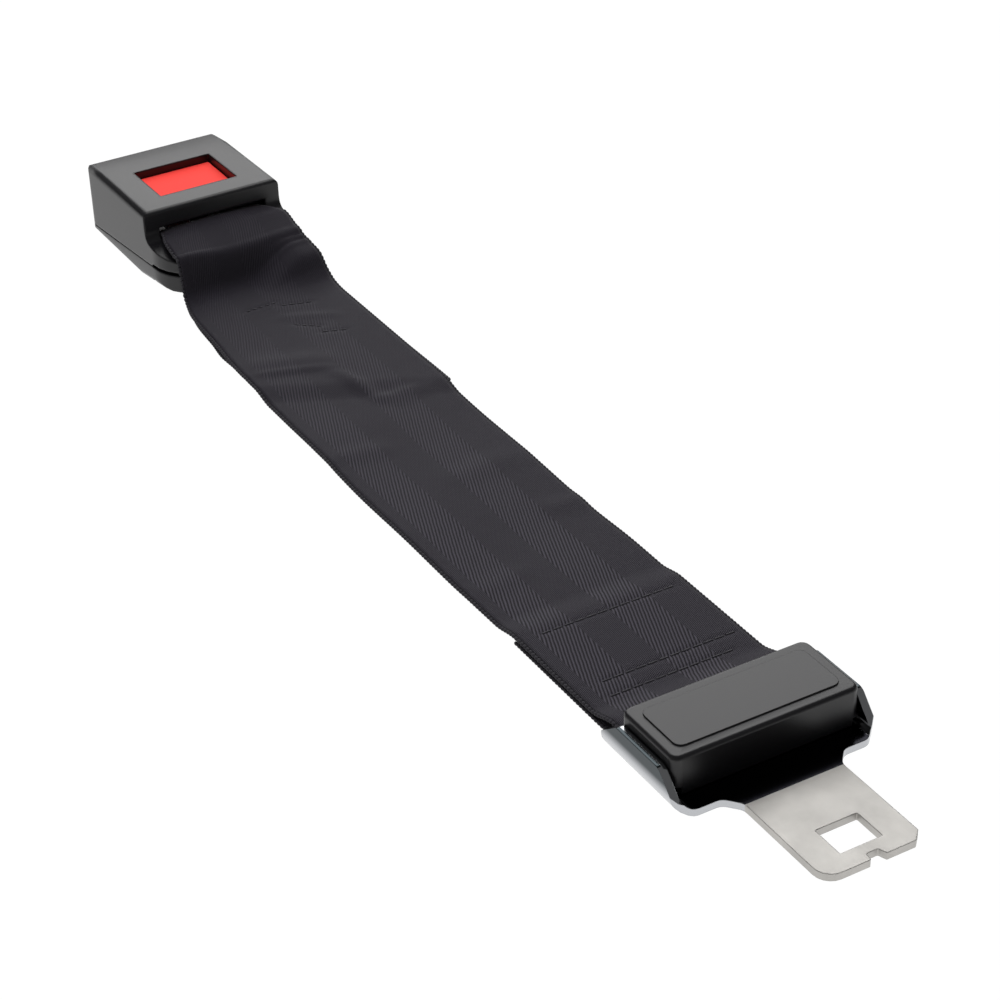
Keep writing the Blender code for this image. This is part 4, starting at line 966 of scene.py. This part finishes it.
    def settled(self, x: float, across: float) -> float:
        """Height of the upper layer where the belt lies on the floor or on its own lap.

        Args:
            x: Position along the belt.
            across: Share of the width, -1 to 1.

        Returns:
            The height in millimetres.
        """
        over_lap = 1.0 - ease(self.lap_end(across), self.lap_end(across) + STEP_RUN, x)
        over_tongue = ease(TONGUE_LAP_X - STEP_RUN, TONGUE_LAP_X - self.climb_end, x)
        climb = ease(PLATE_REAR_X - self.upper_climb, PLATE_REAR_X - self.climb_end, x)
        wave = 0.5 + 0.5 * sin((x - BUCKLE_LAP_X) / self.arch_wave + self.arch_lean * across)
        return (
            FLAT_Z
            + LAYER * max(over_lap, over_tongue)
            + (LOAD_BAR_Z + LOAD_LOOP - FLAT_Z - LAYER) * climb
            + self.arch * self.between_laps(x, *self.arch_runs) * wave
        )

    def upper(self, x: float, across: float) -> Vector:
        """A point on the upper layer's middle surface.

        Args:
            x: Position along the belt.
            across: Share of the width, -1 to 1.

        Returns:
            The point in millimetres.
        """
        y = across * (self.left_half(x) if across < 0 else self.right_half(x))
        y -= self.drift * self.between_laps(x, *self.drift_runs)
        z = self.settled(x, across) if x > SETTLE_X else self.upper_buckle(x)
        hang = (self.left_hang if across < 0 else self.right_hang)(x)
        if hang < 0:
            z -= hang * ease(*self.sag_run, abs(across))
        else:
            z -= hang * abs(across) ** self.hang_power
        if x > SETTLE_X - self.detail_lead:
            z = max(FLAT_Z, z + self.detail(x, y))
        return Vector((x, y, z))

    def bend(
        self, x: float, z: float, radius: float, half: float, start: float, steps: int
    ) -> list[Station]:
        """Stations over half a turn round a bar.

        Args:
            x: Bar's centre.
            z: Bar's centre height.
            radius: Radius of the belt's middle surface.
            half: Half of the belt's width there.
            start: Angle of the first side in degrees.
            steps: Number of steps in the half turn.

        Returns:
            Functions that give a point for a share of the width.
        """
        made = []
        for k in range(1, steps):
            angle = radians(start - 180.0 * k / steps)
            spot = (x + radius * cos(angle), z + radius * sin(angle))
            made.append(lambda across, spot=spot: Vector((spot[0], across * half, spot[1])))
        return made

    def run(self, layer: Layer, start: float, end: float, step: float) -> None:
        """Add evenly spaced stations on one layer.

        Args:
            layer: Which layer.
            start: First position.
            end: Last position.
            step: Distance between stations.
        """
        surface = self.upper if layer is Layer.UPPER else self.under
        count = max(1, round(abs(end - start) / step))
        for k in range(count + 1):
            x = start + (end - start) * k / count
            self.stations.append(lambda across, x=x: surface(x, across))

    def lay_out(self) -> None:
        """Fill the list of stations from one cut end to the other."""
        at_load_bar = self.bend(
            LOAD_BAR_X, LOAD_BAR_Z, LOAD_LOOP, WEB_HALF, 90.0, self.load_bend_steps
        )
        at_bar = self.bend(BAR_X, BAR_Z, BAR_LOOP, LOOP_HALF, 270.0, self.bar_bend_steps)
        self.run(Layer.UNDER, TONGUE_LAP_X, LOAD_BAR_X, self.coarse_step)
        self.stations += reversed(at_load_bar)
        self.run(Layer.UPPER, LOAD_BAR_X, BAR_X, self.fine_step)
        self.stations += reversed(at_bar)
        self.run(Layer.UNDER, BAR_X, SETTLE_X + self.coarse_step, self.throat_step)
        self.run(Layer.UNDER, SETTLE_X + 2 * self.coarse_step, BUCKLE_LAP_X, self.coarse_step)

    def cloth(self) -> tuple[bpy.types.Object, list[Vector], list[Vector]]:
        """Build the woven sheet.

        Returns:
            The object, and the points of its left and right edges in millimetres.
        """
        shares = [-1.0 + 2.0 * k / self.columns for k in range(self.columns + 1)]
        grid = np.array([[station(a) for a in shares] for station in self.stations])
        edges = ([Vector(p) for p in grid[:, 0]], [Vector(p) for p in grid[:, -1]])
        inset = 1.0 - SELVAGE / WEB_HALF
        middle = grid[:, self.columns // 2][:, None, :]
        grid = middle + (grid - middle) * inset
        steps = np.linalg.norm(np.diff(grid[:, self.columns // 2], axis=0), axis=1)
        travel = np.concatenate(([0.0], np.cumsum(steps)))
        rows, wide = grid.shape[:2]
        index = np.arange(rows * wide).reshape(rows, wide)
        faces = np.stack(
            (index[:-1, :-1], index[:-1, 1:], index[1:, 1:], index[1:, :-1]), -1
        ).reshape(-1, 4)
        mesh = bpy.data.meshes.new("webbing_cloth")
        mesh.from_pydata((grid.reshape(-1, 3) * MM).tolist(), [], faces.tolist())
        width = np.array(shares) * WEB_HALF
        flat = np.stack(np.broadcast_arrays(width[None, :], travel[:, None]), -1).reshape(-1, 2)
        layer = mesh.uv_layers.new(name="belt_mm")
        corners = np.empty(len(mesh.loops), dtype=np.int32)
        mesh.loops.foreach_get("vertex_index", corners)
        layer.data.foreach_set("uv", flat[corners].astype(np.float32).ravel())
        mesh.shade_smooth()
        cloth = placed("webbing_cloth", mesh)
        wall = cloth.modifiers.new("thickness", "SOLIDIFY")
        wall.thickness = (WEB_THICKNESS - self.cloth_ease) * MM
        wall.offset = 0.0
        cloth.data.materials.append(self.palette.weave.build())
        return cloth, *edges

    def build(self) -> list[bpy.types.Object]:
        """Put the webbing in the scene in place of the coarse node.

        Returns:
            Its pieces: the cloth, both selvages and the sewing.
        """
        self.lay_out()
        cloth, left, right = self.cloth()
        pieces = [cloth]
        for name, edge in (("left", left), ("right", right)):
            pieces.append(Beads(f"selvage_{name}", self.palette.selvage).build(edge))
        rows = []
        for seam in self.seams + self.tack:
            for first, second in seam.stitches():
                rows.append((self.on_top(*first), self.on_top(*second)))
        pieces.append(Stitches("sewing", self.palette.thread).build(rows))
        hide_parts("webbing")
        for piece in pieces:
            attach(piece, "buckle_and_belt")
        return pieces

    def on_top(self, x: float, y: float) -> Vector:
        """A point on the upper layer's top face.

        Args:
            x: Position along the belt.
            y: Position over its width.

        Returns:
            The point in millimetres.
        """
        half = self.left_half(x) if y < 0 else self.right_half(x)
        spot = self.upper(x, max(-1.0, min(1.0, y / half)))
        return spot + Vector((0.0, 0.0, WEB_THICKNESS / 2))


class GuideTree:
    """A geometry node group that dresses a guide mesh and ends in real faces of one finish."""

    def __init__(self, name: str, size_name: str) -> None:
        """Make the group with its guide as a curve.

        Args:
            name: Name of the group.
            size_name: Name of the input that holds the piece's size.
        """
        self.group = bpy.data.node_groups.new(name, "GeometryNodeTree")
        sockets = self.group.interface
        sockets.new_socket("Geometry", in_out="INPUT", socket_type="NodeSocketGeometry")
        sockets.new_socket("Geometry", in_out="OUTPUT", socket_type="NodeSocketGeometry")
        size = sockets.new_socket(size_name, in_out="INPUT", socket_type="NodeSocketFloat")
        self.size_id = size.identifier
        source = self.add("NodeGroupInput")
        line = self.add("GeometryNodeMeshToCurve")
        self.link(source.outputs["Geometry"], line.inputs["Mesh"])
        self.size = source.outputs[size_name]
        self.curve = line.outputs["Curve"]

    def add(self, kind: str, **values: object) -> bpy.types.Node:
        """Add a node.

        Args:
            kind: Blender's node type name.
            **values: Values for its inputs, by name.

        Returns:
            The new node.
        """
        node = self.group.nodes.new(kind)
        for name, value in values.items():
            node.inputs[name.replace("_", " ")].default_value = value
        return node

    def link(self, source: Socket, target: Socket) -> None:
        """Join an output socket to an input socket.

        Args:
            source: Output socket.
            target: Input socket.
        """
        self.group.links.new(source, target)

    def bake(
        self, guide: bpy.types.Object, shape: Socket, material: bpy.types.Material, size: float
    ) -> None:
        """Close the tree, run it on a guide once and keep only its result.

        Args:
            guide: The object that holds the guide mesh.
            shape: The finished shape's socket.
            material: Its material.
            size: The piece's size.
        """
        real = self.add("GeometryNodeRealizeInstances")
        paint = self.add("GeometryNodeSetMaterial", Material=material)
        target = self.add("NodeGroupOutput")
        self.link(shape, real.inputs["Geometry"])
        self.link(real.outputs["Geometry"], paint.inputs["Geometry"])
        self.link(paint.outputs["Geometry"], target.inputs["Geometry"])
        modifier = guide.modifiers.new(self.group.name, "NODES")
        modifier.node_group = self.group
        modifier[self.size_id] = size * MM
        bpy.context.view_layer.update()
        result = bpy.data.meshes.new_from_object(
            guide.evaluated_get(bpy.context.evaluated_depsgraph_get())
        )
        guide.modifiers.clear()
        guide.data = result
        result.shade_smooth()


def guide_mesh(
    name: str, points: Sequence[Vector], edges: Sequence[tuple[int, int]]
) -> bpy.types.Object:
    """An object of bare edges that a guide tree can follow.

    Args:
        name: Name of the object and its mesh.
        points: Its points.
        edges: Pairs of point numbers.

    Returns:
        The new object.
    """
    mesh = bpy.data.meshes.new(name)
    mesh.from_pydata([tuple(point * MM) for point in points], edges, [])
    return placed(name, mesh)


@dataclass(frozen=True)
class Stitches:
    """Short lengths of thread, each drawn as a round rod along one edge of a guide mesh."""

    name: str
    finish: Finish
    radius: float = 0.26
    sides: int = 6

    def build(self, rows: Sequence[tuple[Vector, Vector]]) -> bpy.types.Object:
        """Make every stitch.

        Args:
            rows: The two ends of each stitch.

        Returns:
            The object that holds them all.
        """
        ends = [end for pair in rows for end in pair]
        guide = guide_mesh(self.name, ends, [(2 * k, 2 * k + 1) for k in range(len(rows))])
        tree = GuideTree(self.name, "Radius")
        ring = tree.add("GeometryNodeCurvePrimitiveCircle", Resolution=self.sides)
        tube = tree.add("GeometryNodeCurveToMesh", Fill_Caps=True)
        tree.link(tree.size, ring.inputs["Radius"])
        tree.link(tree.curve, tube.inputs["Curve"])
        tree.link(ring.outputs["Curve"], tube.inputs["Profile Curve"])
        tree.bake(guide, tube.outputs["Mesh"], self.finish.build(), self.radius)
        return guide


@dataclass(frozen=True)
class Beads:
    """Turned-over weft loops along one edge of the webbing, each a small ellipsoid."""

    name: str
    finish: Finish
    pitch: float = 1.35
    radii: Triple = (0.52, 0.55, 0.80)

    def build(self, edge: Sequence[Vector]) -> bpy.types.Object:
        """Make the row of beads.

        Args:
            edge: Points along the edge.

        Returns:
            The object that holds them all.
        """
        guide = guide_mesh(self.name, edge, [(k, k + 1) for k in range(len(edge) - 1)])
        tree = GuideTree(self.name, "Pitch")
        spots = tree.add("GeometryNodeCurveToPoints")
        spots.mode = "LENGTH"
        ball = tree.add("GeometryNodeMeshIcoSphere", Radius=MM, Subdivisions=2)
        bead = tree.add("GeometryNodeTransform", Scale=self.radii)
        copies = tree.add("GeometryNodeInstanceOnPoints")
        tree.link(tree.curve, spots.inputs["Curve"])
        tree.link(tree.size, spots.inputs["Length"])
        tree.link(ball.outputs["Mesh"], bead.inputs["Geometry"])
        tree.link(spots.outputs["Points"], copies.inputs["Points"])
        tree.link(spots.outputs["Rotation"], copies.inputs["Rotation"])
        tree.link(bead.outputs["Geometry"], copies.inputs["Instance"])
        tree.bake(guide, copies.outputs["Instances"], self.finish.build(), self.pitch)
        return guide


@dataclass(frozen=True)
class HardPieces:
    """Buckle, block and plate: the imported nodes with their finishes."""

    palette: Palette
    weld_m: float = 1e-6
    flat_deg: float = 0.1
    sharp_deg: float = 32.0
    face_weight: int = 100

    def finishes(self) -> dict[Finish | ChromeFinish, tuple[str, ...]]:
        """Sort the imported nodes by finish.

        Returns:
            Names of the nodes that each finish goes on.
        """
        palette = self.palette
        rivets = tuple(
            f"guide_rivet_{end}_{side}" for end in ("front", "rear") for side in ("left", "right")
        )
        return {
            palette.shell: ("upper_cover", "lower_cover"),
            palette.block: ("tongue_cover",),
            palette.button: ("release_button",),
            palette.acetal: ("ejector",),
            palette.dark_steel: ("tail_screw_left", "tail_screw_right"),
            palette.plate: ("tongue_plate",),
            palette.frame_steel_painted_shade: ("buckle_frame",),
            palette.steel: (
                "guide_plate", "latch_pawl", "latch_pin", "webbing_bar",
                "latch_spring", "ejector_spring", *rivets,
            ),
        }

    def build(self, frame: dict) -> list[bpy.types.Object]:
        """Give every hard node its finish and shading.


        Returns:
            The shown pieces.
        """
        record = frame["record"]
        bodies = {
            name: body
            for body, members in record["behaviour"]["bodies"].items()
            for name in members
        }
        pieces = []
        for finish, names in self.finishes().items():
            material = finish.build()
            for name in names:
                made = self.smoothed(frame["nodes"][name])
                made.data.materials.append(material)
                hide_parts(name)
                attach(made, bodies[name])
                if name in SPRINGS:
                    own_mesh(made)
                pieces.append(made)
        return pieces

    def smoothed(self, node: bpy.types.Object) -> bpy.types.Object:
        """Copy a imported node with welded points, round faces smooth and real edges sharp.

        Args:
            node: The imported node's object.

        Returns:
            The new object.
        """
        name = f"{node.name}_shown"
        mesh = bpy.data.meshes.new(name)
        shape = bmesh.new()
        shape.from_mesh(node.data)
        bmesh.ops.remove_doubles(shape, verts=shape.verts, dist=self.weld_m)
        bmesh.ops.dissolve_limit(
            shape, angle_limit=radians(self.flat_deg), verts=shape.verts, edges=shape.edges
        )
        shape.to_mesh(mesh)
        shape.free()
        mesh.shade_smooth()
        mesh.set_sharp_from_angle(angle=radians(self.sharp_deg))
        made = placed(name, mesh)
        weigh = made.modifiers.new("flat_faces", "WEIGHTED_NORMAL")
        weigh.keep_sharp = True
        weigh.weight = self.face_weight
        return made


@dataclass(frozen=True)
class Softbox:
    """One square studio light that faces the middle of the belt."""

    name: str
    place_m: Triple
    side_m: float
    radiance: float
    mirrored: bool = True

    def build(self) -> None:
        """Put the light in the scene."""
        lamp = bpy.data.lights.new(self.name, "AREA")
        lamp.shape = "RECTANGLE"
        lamp.size = lamp.size_y = self.side_m
        lamp.energy = self.radiance * pi * self.side_m**2
        made = placed(self.name, lamp)
        made.visible_glossy = self.mirrored
        made.location = self.place_m
        made.rotation_mode = "QUATERNION"
        made.rotation_quaternion = (-Vector(self.place_m)).to_track_quat("-Z", "Y")


@dataclass(frozen=True)
class Studio:
    """White sweep, soft boxes and the fitted camera."""

    azimuth_deg: float = 60.601
    elevation_deg: float = 32.416
    roll_deg: float = -1.831
    distance: float = 694.965
    target: Triple = (19.428, 6.032, 0.0)
    lens: float = 93.978
    sensor: float = 36.0
    clip_m: tuple[float, float] = (0.01, 20.0)
    floor_half_m: float = 3.0
    floor_z_m: float = -0.0001
    floor_tone: float = 0.86
    floor_roughness: float = 0.9
    floor_specular: float = 0.1
    floor_glow: float = 1.03
    floor_glow_share: float = 0.97
    sky_strength: float = 0.14
    backdrop_strength: float = 1.0
    boxes: tuple[Softbox, ...] = (
        Softbox("back_box", (-0.87, 0.51, 0.72), 0.95, 2.6),
        Softbox("top_box", (-0.25, -0.1, 1.2), 1.2, 2.6, mirrored=False),
    )

    def camera(self) -> None:
        """Place the camera fitted to the reference view."""
        azimuth, elevation = radians(self.azimuth_deg), radians(self.elevation_deg)
        reach = cos(elevation)
        back = Vector((sin(azimuth) * reach, -cos(azimuth) * reach, sin(elevation)))
        level = Vector((cos(azimuth), sin(azimuth), 0.0))
        rise = back.cross(level)
        roll = radians(self.roll_deg)
        right = level * cos(roll) + rise * sin(roll)
        up = rise * cos(roll) - level * sin(roll)
        data = bpy.data.cameras.new("camera")
        data.lens = self.lens
        data.sensor_width = self.sensor
        data.clip_start, data.clip_end = self.clip_m
        camera = placed("camera", data)
        turn = Matrix((right, up, back)).transposed().to_4x4()
        place = (Vector(self.target) + back * self.distance) * MM
        camera.matrix_world = Matrix.Translation(place) @ turn
        bpy.context.scene.camera = camera

    def floor(self) -> None:
        """Lay the pale sweep that the extender rests on."""
        shape = bmesh.new()
        bmesh.ops.create_grid(shape, x_segments=1, y_segments=1, size=self.floor_half_m)
        mesh = bpy.data.meshes.new("floor")
        shape.to_mesh(mesh)
        shape.free()
        floor = placed("floor", mesh)
        floor.location.z = self.floor_z_m
        graph = Graph("floor")
        graph.dress({
            "Base Color": (self.floor_tone,) * 3,
            "Roughness": self.floor_roughness,
            "Specular IOR Level": self.floor_specular,
        })
        rays = graph.add("ShaderNodeLightPath")
        glow = graph.add("ShaderNodeEmission")
        glow.inputs["Color"].default_value = (1.0, 1.0, 1.0, 1.0)
        glow.inputs["Strength"].default_value = self.floor_glow
        seen = rays.outputs["Is Camera Ray"]
        for kind in ("Is Glossy Ray", "Is Transmission Ray"):
            seen = graph.math("MAXIMUM", seen, rays.outputs[kind])
        mixed = graph.add("ShaderNodeMixShader")
        graph.link(graph.math("MULTIPLY", seen, self.floor_glow_share), mixed.inputs[0])
        graph.link(graph.shader.outputs[0], mixed.inputs[1])
        graph.link(glow.outputs[0], mixed.inputs[2])
        graph.link(mixed.outputs[0], graph.tree.nodes["Material Output"].inputs["Surface"])
        mesh.materials.append(graph.material)
        floor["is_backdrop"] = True

    def world(self) -> None:
        """Make the surroundings white to the camera and dimmer as a light."""
        world = bpy.data.worlds.new("studio")
        bpy.context.scene.world = world
        world.use_nodes = True
        tree = world.node_tree
        sky = tree.nodes["Background"]
        backdrop = tree.nodes.new("ShaderNodeBackground")
        for node, strength in ((sky, self.sky_strength), (backdrop, self.backdrop_strength)):
            node.inputs["Color"].default_value = (1.0, 1.0, 1.0, 1.0)
            node.inputs["Strength"].default_value = strength
        rays = tree.nodes.new("ShaderNodeLightPath")
        mixed = tree.nodes.new("ShaderNodeMixShader")
        tree.links.new(rays.outputs["Is Camera Ray"], mixed.inputs[0])
        tree.links.new(sky.outputs[0], mixed.inputs[1])
        tree.links.new(backdrop.outputs[0], mixed.inputs[2])
        tree.links.new(mixed.outputs[0], tree.nodes["World Output"].inputs["Surface"])

    def build(self) -> None:
        """Set up the whole studio."""
        self.camera()
        self.floor()
        self.world()
        for softbox in self.boxes:
            softbox.build()
        bpy.context.scene.view_settings.view_transform = "Standard"


def corners() -> list[list[float]]:
    """Lowest and highest corner of what is shown.

    Returns:
        Two plain lists in metres.
    """
    low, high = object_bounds()
    return [list(low), list(high)]


def main() -> None:
    """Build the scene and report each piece."""
    logging.basicConfig(level=logging.INFO)
    for old in list(bpy.data.objects):
        bpy.data.objects.remove(old, do_unlink=True)
    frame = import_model()
    palette = Palette()
    for piece in HardPieces(palette).build(frame) + Webbing(palette).build():
        LOG.info("%s: %d faces", piece.name, len(piece.data.polygons))
    Studio().build()
    bpy.context.view_layer.update()


if __name__ == "__main__":
    main()
